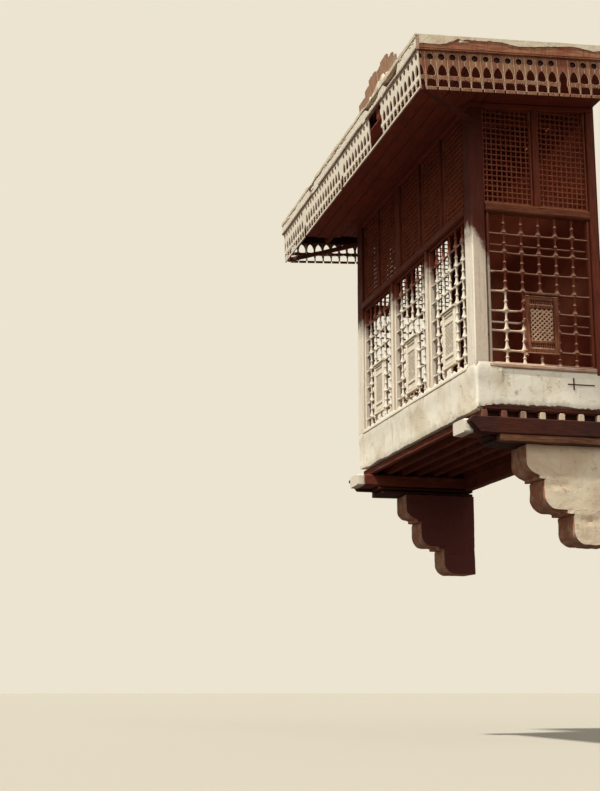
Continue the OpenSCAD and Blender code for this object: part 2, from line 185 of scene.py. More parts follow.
def tube(rings, sides):
    """Faces between rings of points that follow one another, closed at both ends."""
    faces = []
    for a in range(0, (rings - 1) * sides, sides):
        b = a + sides
        faces += [(a + i, a + (i + 1) % sides, b + (i + 1) % sides, b + i) for i in range(sides)]
    last = (rings - 1) * sides
    return faces + [tuple(reversed(range(sides))), tuple(range(last, last + sides))]


def lining(rings, sides):
    """The faces of a tube turned the other way, each from its own first corner."""
    faces = tube(rings, sides)
    return [(f[0],) + f[:0:-1] for f in faces[:-2]] + flipped(faces[-2:])


def turned(profile, sides):
    """A turned shape about Z from (radius, height) pairs."""
    angles = np.arange(sides) / sides * 2 * math.pi
    ring = np.stack([np.cos(angles), np.sin(angles)], 1)
    points = np.concatenate([np.column_stack([ring * r, np.full(sides, z)]) for r, z in profile])
    return points, tube(len(profile), sides)


def lying(points):
    """Turns a shape made along +Z so that it lies along +X."""
    return points @ np.array([[0, 0, -1.0], [0, 1, 0], [1, 0, 0]])


def swept(outline, stations):
    """An outline of (across, up) points set at stations (place, across, up)."""
    outline = np.asarray(outline, float)
    points = [np.asarray(place) + outline[:, :1] * np.asarray(across) + outline[:, 1:] * np.asarray(up)
              for place, across, up in stations]
    return np.concatenate(points), tube(len(stations), len(outline))


def both_halves(half):
    """A closed outline from its first half, which a half turn takes to the second."""
    return half + [(-x, -y) for x, y in half]


def timber(low, high, wear, chamfer, step, seed=0.0):
    """A worn piece of timber in the box between two corners, laid along the box's longest side."""
    low, high = np.asarray(low, float), np.asarray(high, float)
    size = high - low
    axis = int(np.argmax(size))
    others = [(axis + 1) % 3, (axis + 2) % 3]
    w, h = size[others[0]] - 2 * wear, size[others[1]] - 2 * wear
    c = min(chamfer, w / 4, h / 4)
    outline = both_halves([(-w / 2 + c, -h / 2), (-w / 6, -h / 2), (w / 6, -h / 2), (w / 2 - c, -h / 2),
                           (w / 2, -h / 2 + c), (w / 2, -h / 6), (w / 2, h / 6), (w / 2, h / 2 - c)])
    across, up, along = np.eye(3)[others[0]], np.eye(3)[others[1]], np.eye(3)[axis]
    length = size[axis]
    count = max(2, int(length / step) + 1)
    cut = min(c, length / 8)
    places = [0.0, cut] + list(np.linspace(0, length, count + 1)[1:-1]) + [length - cut, length]
    stations = []
    for k, t in enumerate(places):
        shrink = 1 - (c / max(w, h) if k in (0, len(places) - 1) else 0)
        stations.append(((low + high) / 2 + along * (t - length / 2), across * shrink, up * shrink))
    points, faces = swept(outline, stations)
    points += wander(points, 0.35, wear * 0.8, seed) + wander(points, 0.07, wear * 0.35, seed + 3)
    return np.clip(points, low, high), faces


def leaning(points):
    """Turns points of the level canopy to its lean, and cuts them off plumb at the wall."""
    points = np.array(points, float)
    y, z = points[:, 1] + EAVE_Y, points[:, 2] - SOFFIT
    points[:, 1] = np.minimum(y * math.cos(LEAN) - z * math.sin(LEAN) - EAVE_Y, 0.0)
    points[:, 2] = y * math.sin(LEAN) + z * math.cos(LEAN) + SOFFIT
    return points


def inside_fascia(points):
    """Keeps a worn board's points inside the fascia's outer faces, and leans them."""
    points = np.array(points, float)
    points[:, 0] = np.clip(points[:, 0], -FASCIA_EDGE, FASCIA_EDGE)
    points[:, 1] = np.maximum(points[:, 1], -EAVE_Y - FASCIA_OUT)
    return leaning(points)


def under_plates(points):
    """Cuts what stands below the top plates to their slope."""
    points = np.array(points, float)
    slope = SOFFIT - PLATE + (points[:, 1] + EAVE_Y) * math.tan(LEAN)
    points[:, 2] = np.minimum(points[:, 2], slope + 0.004)
    return points


# Settings

def colour(name, description, *rgb):
    """A colour setting, whose default is given as read on screen."""
    return bpy.props.FloatVectorProperty(name=name, description=description, subtype="COLOR", size=4,
                                         min=0, max=1, default=srgb(*rgb))


def length(name, description, default, low, high):
    """A setting for a length in metres."""
    return bpy.props.FloatProperty(name=name, description=description, default=default, min=low, max=high,
                                   unit="LENGTH")


def strength(name, description, default, high):
    """A setting for how strong a light is."""
    return bpy.props.FloatProperty(name=name, description=description, default=default, min=0, max=high)


class OrielColours(bpy.types.PropertyGroup):
    """Colours of the woods, the plaster and the stone."""

    bleached: colour("Bleached wood", "Wood in the sun on the front", 234, 224, 202)
    grey_wood: colour("Grey-brown wood", "Weathered wood on the ends", 154, 100, 68)
    tan: colour("Tan wood", "Weathered wood on the canopy's ends", 206, 180, 150)
    brown: colour("Brown wood", "Wood in the lee of the weather", 126, 64, 42)
    umber: colour("Dark wood", "Oldest and darkest wood, under the canopy", 86, 36, 24)
    limewash: colour("Limewash", "Clean plaster", 237, 229, 208)
    old_plaster: colour("Old plaster", "Plaster where the limewash is thin", 216, 202, 174)
    stain: colour("Stain", "Stains on plaster and stone", 156, 118, 84)
    stone: colour("Stone", "Dressed limestone", 222, 206, 176)
    dull_stone: colour("Dull stone", "Limestone gone brown", 178, 142, 106)
    paper: colour("Backdrop", "Plain backdrop and floor", 236, 228, 208)


class OrielSizes(bpy.types.PropertyGroup):
    """Sizes of the turned and sawn work that is finer than the solids, and the strength of the lights."""

    rail_radius: length("Rail radius", "Half the thickness of a lattice rail between spindles", 0.0115,
                        0.006, 0.02)
    foot_radius: length("Foot radius", "Radius of a spindle's flared foot", 0.030, 0.015, 0.035)
    neck_radius: length("Neck radius", "Radius of a spindle's thinnest part", 0.012, 0.006, 0.018)
    fine_pitch: length("Fine pitch", "Distance from row to row of the upper lattice", 0.0565, 0.04, 0.09)
    slat_pitch: length("Slat pitch", "Distance between crossed slats in a hatch, straight up", 0.0473, 0.03,
                       0.09)
    board_pitch: length("Board pitch", "Width aimed at for a hanging board", 0.115, 0.09, 0.15)
    key_strength: strength("Key light", "Strength of the key light", 4.1, 10)
    side_strength: strength("Side light", "Strength of the soft light from the viewer's side", 1.3, 10)
    fill_strength: strength("Fill light", "Strength of the light from all round", 0.14, 2)


def sizes():
    return bpy.context.scene.oriel_sizes


# Materials

FINISH = {}


class Nodes:
    """Makes the nodes of one tree by short calls that give their outputs."""

    def __init__(self, tree):
        self.tree = tree

    def put(self, value, socket):
        if isinstance(value, bpy.types.NodeSocket):
            self.tree.links.new(value, socket)
        else:
            socket.default_value = value

    def new(self, kind, inputs=(), **settings):
        node = self.tree.nodes.new("ShaderNode" + kind)
        for key, value in settings.items():
            setattr(node, key, value)
        for socket, value in dict(inputs).items():
            self.put(value, node.inputs[socket])
        return node

    def maths(self, kind, *values):
        return self.new("Math", enumerate(values), operation=kind).outputs[0]

    def times(self, a, b):
        return self.maths("MULTIPLY", a, b)

    def plus(self, a, b):
        return self.maths("ADD", a, b)

    def less(self, a, b):
        return self.maths("SUBTRACT", a, b)

    def most(self, a, b):
        return self.maths("MAXIMUM", a, b)

    def size(self, a):
        return self.maths("ABSOLUTE", a)

    def mix(self, factor, a, b):
        return self.new("Mix", {0: factor, 6: a, 7: b}, data_type="RGBA").outputs[2]

    def ramp(self, value, low, high, to_low=0.0, to_high=1.0):
        bounds = enumerate((value, low, high, to_low, to_high))
        return self.new("MapRange", bounds, interpolation_type="SMOOTHSTEP").outputs[0]

    def grain(self, coords, stretch, scale, detail=4.0, rough=0.55, distort=0.0):
        mapping = self.new("Mapping", {"Scale": stretch, "Vector": coords})
        values = {"Vector": mapping.outputs[0], "Scale": scale, "Detail": detail, "Roughness": rough,
                  "Distortion": distort}
        return self.new("TexNoise", values).outputs["Fac"]

    def place(self):
        """Where on the piece a point lies, the parts of that, and the parts of its normal."""
        coords = self.new("TexCoord").outputs
        spot, facing = (self.new("SeparateXYZ", {0: coords[key]}).outputs for key in ("Object", "Normal"))
        return coords["Object"], spot, facing

    def bump(self, shader, height, strength, distance):
        node = self.new("Bump", {"Strength": strength, "Distance": distance, "Height": height})
        self.put(node.outputs[0], shader.inputs["Normal"])


def surface(key, name):
    """A new material, kept under its key: its nodes and its shader."""
    material = bpy.data.materials.new(name)
    material.use_nodes = True
    FINISH[key] = material
    return Nodes(material.node_tree), material.node_tree.nodes["Principled BSDF"]


def scaled(tint, by):
    return tuple(c * by for c in tint[:3]) + (1,)


def halfway(a, b):
    return tuple(0.5 * (x + y) for x, y in zip(a, b))


def wood(key, name, dark, pale, along="Z", bleach_and_light=0.0, lee=None, streaks=0.0, side=0.0, tops=None,
         boards=None, nose=None, shade_fade=None, roughness=0.78):
    """Old wood: grain along one axis, blotches, and a paler tone on what faces the front, the sky and the
    sides:
    partly sun-bleaching, partly painted light where the key lamp falls.

    lee is a pair of colours for what lies above the canopy's shadow line: painted shade of its cast shadow,
    which also stands for its shelter. tops is a colour for what faces the sky: a painted highlight, partly
    dust.
    boards is an (axis, start, width) by which the tint changes, and nose an (axis, start, colour) for a
    beam's end:
    bare end grain painted pale as if sunlit, which shade_fade lets begin only behind a depth, as painted
    shade in front of it.
    """
    n, shader = surface(key, name)
    coords, spot, facing = n.place()
    deep = scaled(dark, 0.45)
    stretch = [1.2 if axis == along else 14 for axis in "XYZ"]
    even = (1, 1, 1)
    fibres = n.grain(coords, stretch, 5.0, 6.0, 0.62, 0.35)
    fine = n.grain(coords, stretch, 22.0, 3.0, 0.6)
    blotch = n.grain(coords, even, 2.3, 4.0, 0.6)
    small = n.grain(coords, even, 11.0, 4.0, 0.6)
    tone = n.ramp(n.maths("MULTIPLY_ADD", fibres, 0.55, n.times(blotch, 0.45)), 0.34, 0.66)
    # Above the canopy's shadow line the wood takes the lee colours: painted shade of the canopy's cast
    # shadow, dappled by noise, which also stands for its shelter
    if lee:
        line = n.maths("MULTIPLY_ADD", spot[1], -SHADOW_AND_SHELTER_SLOPE, HANG_TOP - SHADOW_AND_SHELTER_SLOPE * EAVE_Y)
        below = n.plus(n.less(line, spot[2]), n.times(n.less(small, 0.5), 0.3))
        below = n.ramp(below, -0.09, 0.07)
        dark = n.mix(below, lee[0], dark)
        pale = n.mix(below, lee[1], pale)
    # Faces towards the front, the sky and the sides are paler: partly sun-bleaching, partly painted light
    # where the key lamp falls
    if bleach_and_light > 0:
        bleached_and_lit = n.ramp(n.times(facing[1], -1.0), 0.05, 0.85)
        bleached_and_lit = n.most(bleached_and_lit, n.ramp(facing[2], 0.35, 0.95, 0.0, 0.6))
        if side > 0:
            bleached_and_lit = n.most(bleached_and_lit, n.ramp(n.size(facing[0]), 0.3, 0.9, 0.0, side))
        lifted = n.maths("MULTIPLY_ADD", small, 0.2, n.times(bleached_and_lit, bleach_and_light))
        tone = n.most(n.times(tone, 0.55), lifted)
    tint = n.mix(tone, dark, pale)
    if boards:
        axis, start, wide = boards
        number = n.maths("FLOOR", n.maths("DIVIDE", n.less(spot[axis], start), wide))
        chance = n.new("TexWhiteNoise", {"W": number}, noise_dimensions="1D").outputs["Value"]
        tint = n.mix(n.times(n.plus(chance, blotch), 0.36), tint, n.mix(0.5, deep, dark))
    # Faces towards the sky take the tops colour: a painted highlight on top edges, partly dust
    if tops:
        tint = n.mix(n.ramp(facing[2], 0.15, 0.6, 0.0, 0.9), tint, tops)
    # A beam's end takes a pale colour: bare end grain, painted as if sunlit, and dimmed towards the front as
    # painted shade
    if nose:
        axis, start, sunlit_bare_end = nose
        reach = n.ramp(n.plus(n.size(spot[axis]), n.times(small, 0.05)), start, start + 0.03, 0.0, 0.9)
        if shade_fade:
            reach = n.times(reach, n.ramp(spot[1], shade_fade[0], shade_fade[1], 0.1, 1.0))
        tint = n.mix(reach, tint, sunlit_bare_end)
    out = n.mix(n.ramp(fine, 0.30, 0.44, 0.55, 1.0), deep, tint)
    if streaks > 0:
        runs = n.grain(coords, (9, 9, 0.5), 4.0, 5.0, 0.65, 0.2)
        out = n.mix(n.ramp(runs, 0.5, 0.68, 0.0, streaks), out, deep)
    n.put(out, shader.inputs["Base Color"])
    rough = n.ramp(blotch, 0.3, 0.7, roughness - 0.1, min(1.0, roughness + 0.12))
    n.put(rough, shader.inputs["Roughness"])
    shader.inputs["Specular IOR Level"].default_value = 0.18
    n.bump(shader, n.maths("MULTIPLY_ADD", fibres, 0.7, n.times(fine, 0.5)), 0.55, 0.006)


def mineral(key, name, pale, mid, dark, pits, lumps=1.0, stain_scale=2.0, shade_and_damp=None, crazed=0.0):
    """Plaster or stone: patches, stains, pits and fine cracks.

    shade_and_damp is a pair of colours, one for what faces down or the front and one for what faces inward:
    the first darkens the stone with damp and painted shade, the second with painted shade under the room.
    """
    n, shader = surface(key, name)
    coords, spot, facing = n.place()
    deep = scaled(dark, 0.5)
    even = (1, 1, 1)
    patches = n.grain(coords, even, stain_scale, 6.0, 0.62, 0.4)
    small = n.grain(coords, even, 9.0, 5.0, 0.65)
    fine = n.grain(coords, even, 60.0, 3.0, 0.6)
    tint = n.mix(n.ramp(patches, 0.42, 0.68), pale, mid)
    tint = n.mix(n.ramp(small, 0.58, 0.76, 0.0, 0.75), tint, dark)
    runs = n.grain(coords, (7, 7, 0.7), 2.0, 5.0, 0.6, 0.1)
    tint = n.mix(n.ramp(runs, 0.55, 0.75, 0.0, 0.35), tint, dark)
    # Faces towards the ground, the front and the middle are darker: damp, and painted shade under the beams
    # and the room
    if shade_and_damp:
        down = n.ramp(n.most(n.times(facing[1], -1.0), n.times(facing[2], -1.0)), 0.25, 0.9)
        tint = n.mix(n.times(down, n.ramp(small, 0.25, 0.6, 0.35, 0.95)), tint, shade_and_damp[0])
        inward = n.times(n.times(facing[0], -1.0), n.maths("SIGN", spot[0]))
        tint = n.mix(n.ramp(inward, 0.2, 0.8), tint, shade_and_damp[1])
    cells = n.new("TexVoronoi", {"Scale": 34.0, "Vector": coords}).outputs["Distance"]
    hole = n.times(n.ramp(cells, 0.05, 0.22, 1.0, 0.0), n.ramp(small, 0.5, 0.62))
    tint = n.mix(n.times(hole, pits), tint, deep)
    height = n.maths("MULTIPLY_ADD", small, 0.8 * lumps, n.times(fine, 0.25))
    height = n.less(height, n.times(hole, 0.9 * pits))
    if crazed > 0:
        wobble = n.new("TexNoise", {"Scale": 7.0, "Vector": coords}).outputs["Color"]
        wobble = n.new("VectorMath", {0: wobble, "Scale": 0.35}, operation="SCALE").outputs[0]
        bent = n.new("VectorMath", {0: coords, 1: wobble}, operation="ADD").outputs[0]
        edges = n.new("TexVoronoi", {"Scale": 2.6, "Vector": bent}, feature="DISTANCE_TO_EDGE")
        line = n.ramp(edges.outputs["Distance"], 0.004, 0.016, 1.0, 0.0)
        line = n.times(line, n.ramp(patches, 0.46, 0.56, 0.0, crazed))
        tint = n.mix(line, tint, deep)
        height = n.less(height, line)
    n.put(tint, shader.inputs["Base Color"])
    shader.inputs["Roughness"].default_value = 0.9
    n.bump(shader, height, 0.6, 0.012)


def make_finishes(c):
    """Makes the finishes from the colour settings."""
    pale, tan, grey, brown, umber = (tuple(v) for v in (c.bleached, c.tan, c.grey_wood, c.brown, c.umber))
    limewash, plaster, stain, stone, dull = (
        tuple(v) for v in (c.limewash, c.old_plaster, c.stain, c.stone, c.dull_stone))
    # Colours for wood above the canopy's shadow line: painted shade of the canopy
    lee = (umber, brown)
    # Pale colour for top edges: dust, and a painted highlight where light from above would catch them
    dust_and_highlight = srgb(226, 190, 158)
    shade = srgb(112, 46, 32), srgb(142, 66, 46)
    end = {"side": 0.55, "bleach_and_light": 0.8, "lee": lee, "tops": dust_and_highlight}
    wood("lattice", "turned wood", brown, pale, bleach_and_light=1.0, lee=lee, side=0.8)
    wood("rails", "rail wood", brown, pale, "X", bleach_and_light=1.0, lee=lee, side=0.8)
    wood("end_lattice", "end turned wood", grey, pale, **end)
    wood("end_rails", "end rail wood", grey, pale, "Y", **end)
    wood("slats", "slat wood", grey, pale, bleach_and_light=1.0, side=0.8)
    wood("end_slats", "end slat wood", grey, srgb(232, 204, 170), bleach_and_light=0.7, side=0.6)
    wood("hatch", "hatch wood", tan, pale, bleach_and_light=1.0, side=0.8)
    # The end hatches are darker than the front ones: painted shade of the ends under the canopy, with a
    # painted highlight on their tops
    wood("end_hatch", "end hatch wood", umber, grey, tops=dust_and_highlight)
    # The fine upper lattice is dark as painted shade under the canopy, with a painted highlight on its tops
    wood("fine", "fine turned wood", halfway(umber, brown), srgb(158, 84, 56), tops=srgb(182, 124, 90))
    # The posts are darkest above the canopy's shadow line: painted shade
    wood("posts", "post wood", grey, pale, bleach_and_light=1.0, lee=(srgb(66, 26, 18), umber), streaks=0.3, side=0.56)
    # Dark wood for what stands under the canopy and under the room: painted shade, and wood the sun has not
    # bleached
    wood("dark_x", "dark cross wood", umber, brown, "X")
    wood("dark_y", "dark depth wood", umber, brown, "Y")
    wood("dark_z", "dark upright wood", umber, brown)
    wood("front_sill", "front sill wood", grey, pale, "X", bleach_and_light=1.0)
    wood("end_sill", "end sill wood", grey, pale, "Y", bleach_and_light=0.6)
    # The transoms are dark as painted shade under the canopy, with their tops paler as a painted highlight
    wood("transom", "transom wood", umber, brown, "X", tops=grey)
    wood("end_transom", "end transom wood", umber, srgb(138, 84, 56), "Y", tops=grey)
    wood("soffit_x", "soffit wood across", *shade, "X")
    wood("soffit_y", "soffit wood in depth", *shade, "Y")
    wood("strut", "strut wood", srgb(78, 32, 22), srgb(104, 48, 32), "Y")
    # A very dark wood for the outermost floor boards, the boards between the joists' ends and the canopy's
    # outer edge beams: painted shade
    wood("deep", "shade-darkened wood", srgb(40, 17, 12), srgb(70, 34, 24), "Y")
    # The floor boards are paler than the joists beside them, to lift the shade between the joists: painted
    # light
    wood("floor", "floor board wood", srgb(168, 92, 66), srgb(196, 122, 92), "Y")
    # The joists' ends are painted pale as if sunlit, and the ones towards the front are dimmed as painted
    # shade
    wood("joist", "joist wood", umber, brown, "X", streaks=0.3,
         nose=(0, HALF - 0.055, srgb(222, 200, 168)), shade_fade=(-1.0, -0.72))
    wood("beam", "side beam wood", srgb(40, 17, 12), srgb(78, 38, 25), "Y")
    # The bracket beams' projecting ends are painted pale as if sunlit
    wood("nose_beam", "bracket beam wood", umber, brown, "Y",
         nose=(1, -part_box("bracket_beams")[0].y - 0.08, pale))
    wood("plank", "bearing plank wood", srgb(54, 28, 19), srgb(122, 82, 56), "Y")
    wood("canopy", "front fret wood", tan, pale, bleach_and_light=1.0, streaks=0.2)
    wood("canopy_end", "end fret wood", brown, srgb(188, 148, 108), streaks=0.5, boards=(1, -2.101, 0.1138))
    # Pale bevelled edges of the hanging boards: wear, and a painted highlight where the edges catch the light
    wood("worn_edge", "worn and lit edges", tan, pale)
    wood("fascia", "fascia wood", grey, pale, "X", bleach_and_light=1.0, streaks=0.25)
    wood("fascia_end", "end fascia wood", brown, srgb(176, 130, 96), "Y", streaks=0.6)
    wood("moulding", "moulding wood", umber, grey, "X")
    wood("roof", "roof wood", srgb(116, 76, 54), srgb(172, 132, 98), "X", streaks=0.3,
         boards=(1, -EAVE_Y, 0.2))
    wood("stubs", "broken board wood", grey, scaled(tan, 0.6), streaks=0.3)
    wood("iron", "rusted iron", srgb(40, 22, 16), srgb(96, 58, 40), "Y", roughness=0.85)
    mineral("plaster", "limewashed plaster", limewash, plaster, stain, pits=0.3, crazed=0.3)
    mineral("stone", "bracket stone", stone, halfway(stone, dull), stain, pits=1.0, lumps=1.4,
            shade_and_damp=(srgb(164, 100, 68), srgb(84, 32, 22)))
    mineral("earth", "roof earth", plaster, tan, dull, pits=0.6, lumps=2.0, stain_scale=5.0)


class ORIEL_OT_solids(bpy.types.Operator):
    """Gives every solid its wood, plaster or stone, before detailed pieces take over."""

    bl_idname = "oriel.finish_solids"
    bl_label = "Finish solids"

    def execute(self, context):
        make_finishes(context.scene.oriel_colours)
        kinds = {
            "dark_x": "wall_beam head_beam front_top_plate front_soffit",
            "dark_y": "end_top_plates end_soffits deck_beams floor_boards bearing_planks corner_struts",
            "dark_z": "wall_posts upper_mullions front_left_upper_lattice front_right_upper_lattice "
                      "left_upper_lattice right_upper_lattice",
            "beam": "left_side_beam right_side_beam bracket_beams",
            "joist": "floor_joists end_outriggers",
            "plaster": "front_parapet left_parapet right_parapet",
            "posts": "left_corner_post right_corner_post front_mullions",
            "transom": "front_sill front_transom",
            "end_transom": "end_sills end_transoms",
            "lattice": "front_left_lattice front_middle_lattice front_right_lattice left_end_lattice "
                       "right_end_lattice front_left_hatch front_middle_hatch front_right_hatch "
                       "left_end_hatch right_end_hatch",
            "roof": "roof_boards",
            "stubs": "roof_stubs",
            "fascia": "front_fascia",
            "fascia_end": "end_fascias",
            "canopy": "front_valance",
            "canopy_end": "left_valance right_valance",
            "stone": "left_bracket right_bracket",
        }
        for key, names in kinds.items():
            for name in names.split():
                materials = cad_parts[name].data.materials
                materials.clear()
                materials.append(FINISH[key])
        return {"FINISHED"}


# Lower lattice and hatches, each bay drawn in its own plane with X along it

def bay_matrix(side, start, height):
    """A bay's lower left corner, with side 0 for the front, 1 for the right end and -1 for the left end."""
    if side == 0:
        return Matrix.Translation((start, LATTICE_Y, height))
    turn = Matrix(((0, -side, 0, 0), (1, 0, 0, 0), (0, 0, 1, 0), (0, 0, 0, 1)))
    return Matrix.Translation((side * LATTICE_X, start, height)) @ turn


def bays():
    """Each lower bay's name, width and place, and whether it is on an end."""
    for name in ("front_left", "front_middle", "front_right"):
        low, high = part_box(name + "_lattice")
        yield name, high.x - low.x, bay_matrix(0, low.x, sill_high.z), False
    for side, name in ((-1, "left_end"), (1, "right_end")):
        low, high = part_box(name + "_lattice")
        start = low.y + END_JOINT
        yield name, high.y - start, bay_matrix(side, start, sill_high.z), True


def spindle(height):
    """A turned spindle between two rails: a flared foot, a bead at its middle and a thin neck."""
    s = sizes()
    foot = ((0.95, 0.02), (1, 0.055), (0.93, 0.085), (0.74, 0.14), (0.62, 0.2), (0.5, 0.27))
    neck = ((1.15, 0.34), (1, 0.42), (1.35, 0.455), (1.7, 0.485), (1.7, 0.515), (1.3, 0.545), (0.92, 0.58),
            (0.88, 0.74), (1.15, 0.86), (1.55, 0.93), (1.3, 1.0))
    marks = [(s.foot_radius * r, z * height) for r, z in foot]
    marks += [(s.neck_radius * r, z * height) for r, z in neck]
    return turned(marks, 10)


def rail(width):
    """A lattice rail along +X that swells at every spindle."""
    radius, cell = sizes().rail_radius, width / CELLS
    marks = [(1.25, 0.0), (0.95, cell / 2)]
    for i in range(1, CELLS):
        swell = ((1.15, -0.04), (1.7, -0.026), (1.95, 0), (1.7, 0.026), (1.15, 0.04))
        marks += [(r, i * cell + x) for r, x in swell] + [(0.95, (i + 0.5) * cell)]
    points, faces = turned([(r * radius, x) for r, x in marks + [(1.25, width)]], 8)
    return lying(points), faces


def lattice_bay(name, width, matrix, end):
    pile = Pile()
    tall = transom_low.z - sill_high.z
    rails = [hatch_low.z - sill_high.z + k * ROW for k in range(7)]
    levels = [0.0] + rails + [tall]
    joint = -0.006 if end else 0.0
    for i in range(1, CELLS):
        for k, (low, high) in enumerate(zip(levels, levels[1:])):
            in_hatch = i == 3 and 1 <= k <= 3
            if not in_hatch:
                points, faces = spindle(high - low)
                sway = wander([(i * 3.1, k * 1.7, width)], 1.0, 0.004, 2.0)[0]
                pile.put(matrix, points + np.array([i * width / CELLS + sway[0], sway[1] * 0.5, low]), faces)
    for k, z in enumerate(rails):
        points, faces = rail(width)
        points[:, 0] = np.maximum(points[:, 0], joint)
        points[:, 2] += z - 0.004 * np.sin(points[:, 0] / width * math.pi * 2 + k)
        pile.put(matrix, points, faces, 1)

    def bar(x0, x1, y0, y1, z0, z1, chamfer=0.005, seed=width, tag=1):
        pile.put(matrix, *timber((x0, y0, z0), (x1, y1, z1), 0.002, chamfer, 0.2, seed), tag)

    # The frame that the bay's lattice is set in, which an end bay keeps clear of the corner post
    deep, thick = 0.03, 0.026
    bar(-0.006, 0.022 if end else thick, -deep, deep, 0, tall, 0.006, tag=0)
    bar(width - thick, width + 0.004, -deep, deep, 0, tall, 0.006, tag=0)
    bar(joint, width, -thick, thick, -0.004, 0.02)
    if end:
        for z in (1.08, 1.88):
            bar(0, width, 0.034, 0.056, z - sill_high.z - 0.012, z - sill_high.z + 0.012, seed=z)
    else:
        bar(0, width, -thick, thick, tall - thick, tall + 0.004)
    finishes = "end_lattice end_rails" if end else "lattice rails"
    pile.build(name + "_turned_lattice", finishes, "auto", name + "_lattice")


def clipped_slat(across, up, start, way):
    """The part of a slanting line that lies in a panel, or None."""
    x0, x1 = across
    fall = way * SLAT_SLOPE * (x1 - x0)
    low, high = 0.0, 1.0
    for edge, keep_above in ((up[0], True), (up[1], False)):
        t = (edge - start) / fall
        if (fall > 0) == keep_above:
            low = max(low, t)
        else:
            high = min(high, t)
    if high - low < 0.03:
        return None
    return [(x0 + (x1 - x0) * t, start + fall * t) for t in (low, high)]


def hatch(name, width, matrix, end):
    """A framed hatch: rows of small balusters above and below a panel of crossed slats."""
    pitch = sizes().slat_pitch
    pile = Pile()
    w, h, t = 2 * width / CELLS, hatch_high.z - hatch_low.z, 0.03
    corner = np.array([w, 0, hatch_low.z - sill_high.z])

    def put(shape, x, y, z):
        pile.put(matrix, shape[0] + (corner + np.array([x, y, z])), shape[1])

    def bars(*boxes):
        for x0, x1, z0, z1, y0, y1 in boxes:
            low, high = np.array([x0, y0, z0]) + corner, np.array([x1, y1, z1]) + corner
            pile.put(matrix, *timber(low, high, 0.0015, 0.004, 0.1, x0 + z0))

    # Jambs, the sash's own frame a little in front of them, and its mouldings
    left, right = 0.056, w - 0.060
    rows = ((0.036, 0.084), (h - 0.118, h - 0.075))
    panel = (0.118, h - 0.160)
    bars((0.0, 0.03, 0.0, h, -t, t), (w - 0.03, w, 0.0, h, -t, t),
         (-0.006, w + 0.006, h - 0.022, h + 0.004, -t - 0.02, t), (0.0, w, 0.0, 0.022, -t, t),
         (0.012, left, -0.022, h - 0.03, -t - 0.006, 0.012),
         (right, w - 0.012, -0.022, h - 0.03, -t - 0.006, 0.012),
         (0.014, w - 0.014, h - 0.046, h - 0.034, -t - 0.010, 0.012),
         (0.05, w - 0.05, h - 0.075, h - 0.044, -t + 0.002, 0.012),
         (0.014, w - 0.014, -0.026, -0.012, -t - 0.010, 0.0),
         (0.05, w - 0.05, -0.012, 0.014, -t + 0.002, 0.012),
         (left, right, 0.014, 0.036, -t - 0.002, 0.008), (left, right, rows[0][1], panel[0], -t, 0.008),
         (left, right, panel[1], rows[1][0], -t, 0.008))
    count = 11
    for z0, z1 in rows:
        marks = ((0.0095, 0), (0.0095, 0.12), (0.005, 0.24), (0.0085, 0.5), (0.005, 0.76), (0.0095, 0.88),
                 (0.0095, 1))
        baluster = turned([(r, z * (z1 - z0)) for r, z in marks], 6)
        for i in range(count):
            put(baluster, left + (i + 0.5) * (right - left) / count, -0.012, z0)
    # Thin fillets round the panel, and the crossed slats
    bars((left, left + 0.008, *panel, -t - 0.002, 0.0), (right - 0.008, right, *panel, -t - 0.002, 0.0))
    half, thick = 0.0068 if end else 0.0088, 0.0045
    outline = ((-half, thick), (-half, -thick * 0.6), (-half * 0.6, -thick), (half * 0.6, -thick),
               (half, -thick * 0.6), (half, thick))
    rise = SLAT_SLOPE * (right - left)
    for way, back in ((1, 0.0), (-1, thick * 1.6)):
        k = -math.ceil(rise / pitch) - 1
        while k * pitch < panel[1] - panel[0] + rise:
            start = panel[0] + k * pitch + (0.5 * pitch if way < 0 else 0)
            ends = clipped_slat((left, right), panel, start, way)
            k += 1
            if ends:
                (x0, z0), (x1, z1) = ends
                across = np.array([z0 - z1, 0, x1 - x0]) / math.hypot(x1 - x0, z1 - z0)
                stations = [(corner + np.array([x, back - 0.018, z]), across, (0, 1, 0)) for x, z in ends]
                pile.put(matrix, *swept(outline, stations), 1)
    # Pintle knobs beside the left jamb and a catch below it
    knob = turned([(0.006, -0.03), (0.012, -0.02), (0.014, 0), (0.012, 0.02), (0.006, 0.03)], 8)
    for z in (0.09, h * 0.5, h - 0.11):
        put(knob, -0.006, -t - 0.004, z)
    catch = [(0.014, -0.06), (0.02, -0.045), (0.014, -0.03), (0.009, -0.012), (0.016, 0.0), (0.012, 0.012)]
    put(turned(catch, 8), 0.012, -t + 0.004, 0)
    finishes = "end_hatch end_slats" if end else "hatch slats"
    pile.build(name + "_sash", finishes, "flat", name + "_hatch")


class ORIEL_OT_lattice(bpy.types.Operator):
    """Builds the turned lattice of the five lower bays."""

    bl_idname = "oriel.build_lattice"
    bl_label = "Turned lattice"

    def execute(self, context):
        for bay in bays():
            lattice_bay(*bay)
        return {"FINISHED"}


class ORIEL_OT_hatches(bpy.types.Operator):
    """Builds the hatches that hang in the lattice."""

    bl_idname = "oriel.build_hatches"
    bl_label = "Hatches"

    def execute(self, context):
        for bay in bays():
            hatch(*bay)
        return {"FINISHED"}


# Upper lattice

def front_panels():
    """Where the five upper panels of the front lie."""
    slim, broad = 0.040, 0.170
    start = transom_low.x
    width = (transom_high.x - transom_low.x - 3 * slim - broad) / 5
    panels = []
    for i in range(5):
        panels.append((start, start + width))
        start += width + (broad if i == 1 else slim)
    return panels


def end_panels():
    """Where the two upper panels of an end lie."""
    mullion = 0.070
    width = (end_high.y - end_low.y - mullion) / 2
    return [(end_low.y, end_low.y + width), (end_high.y - width, end_high.y)]


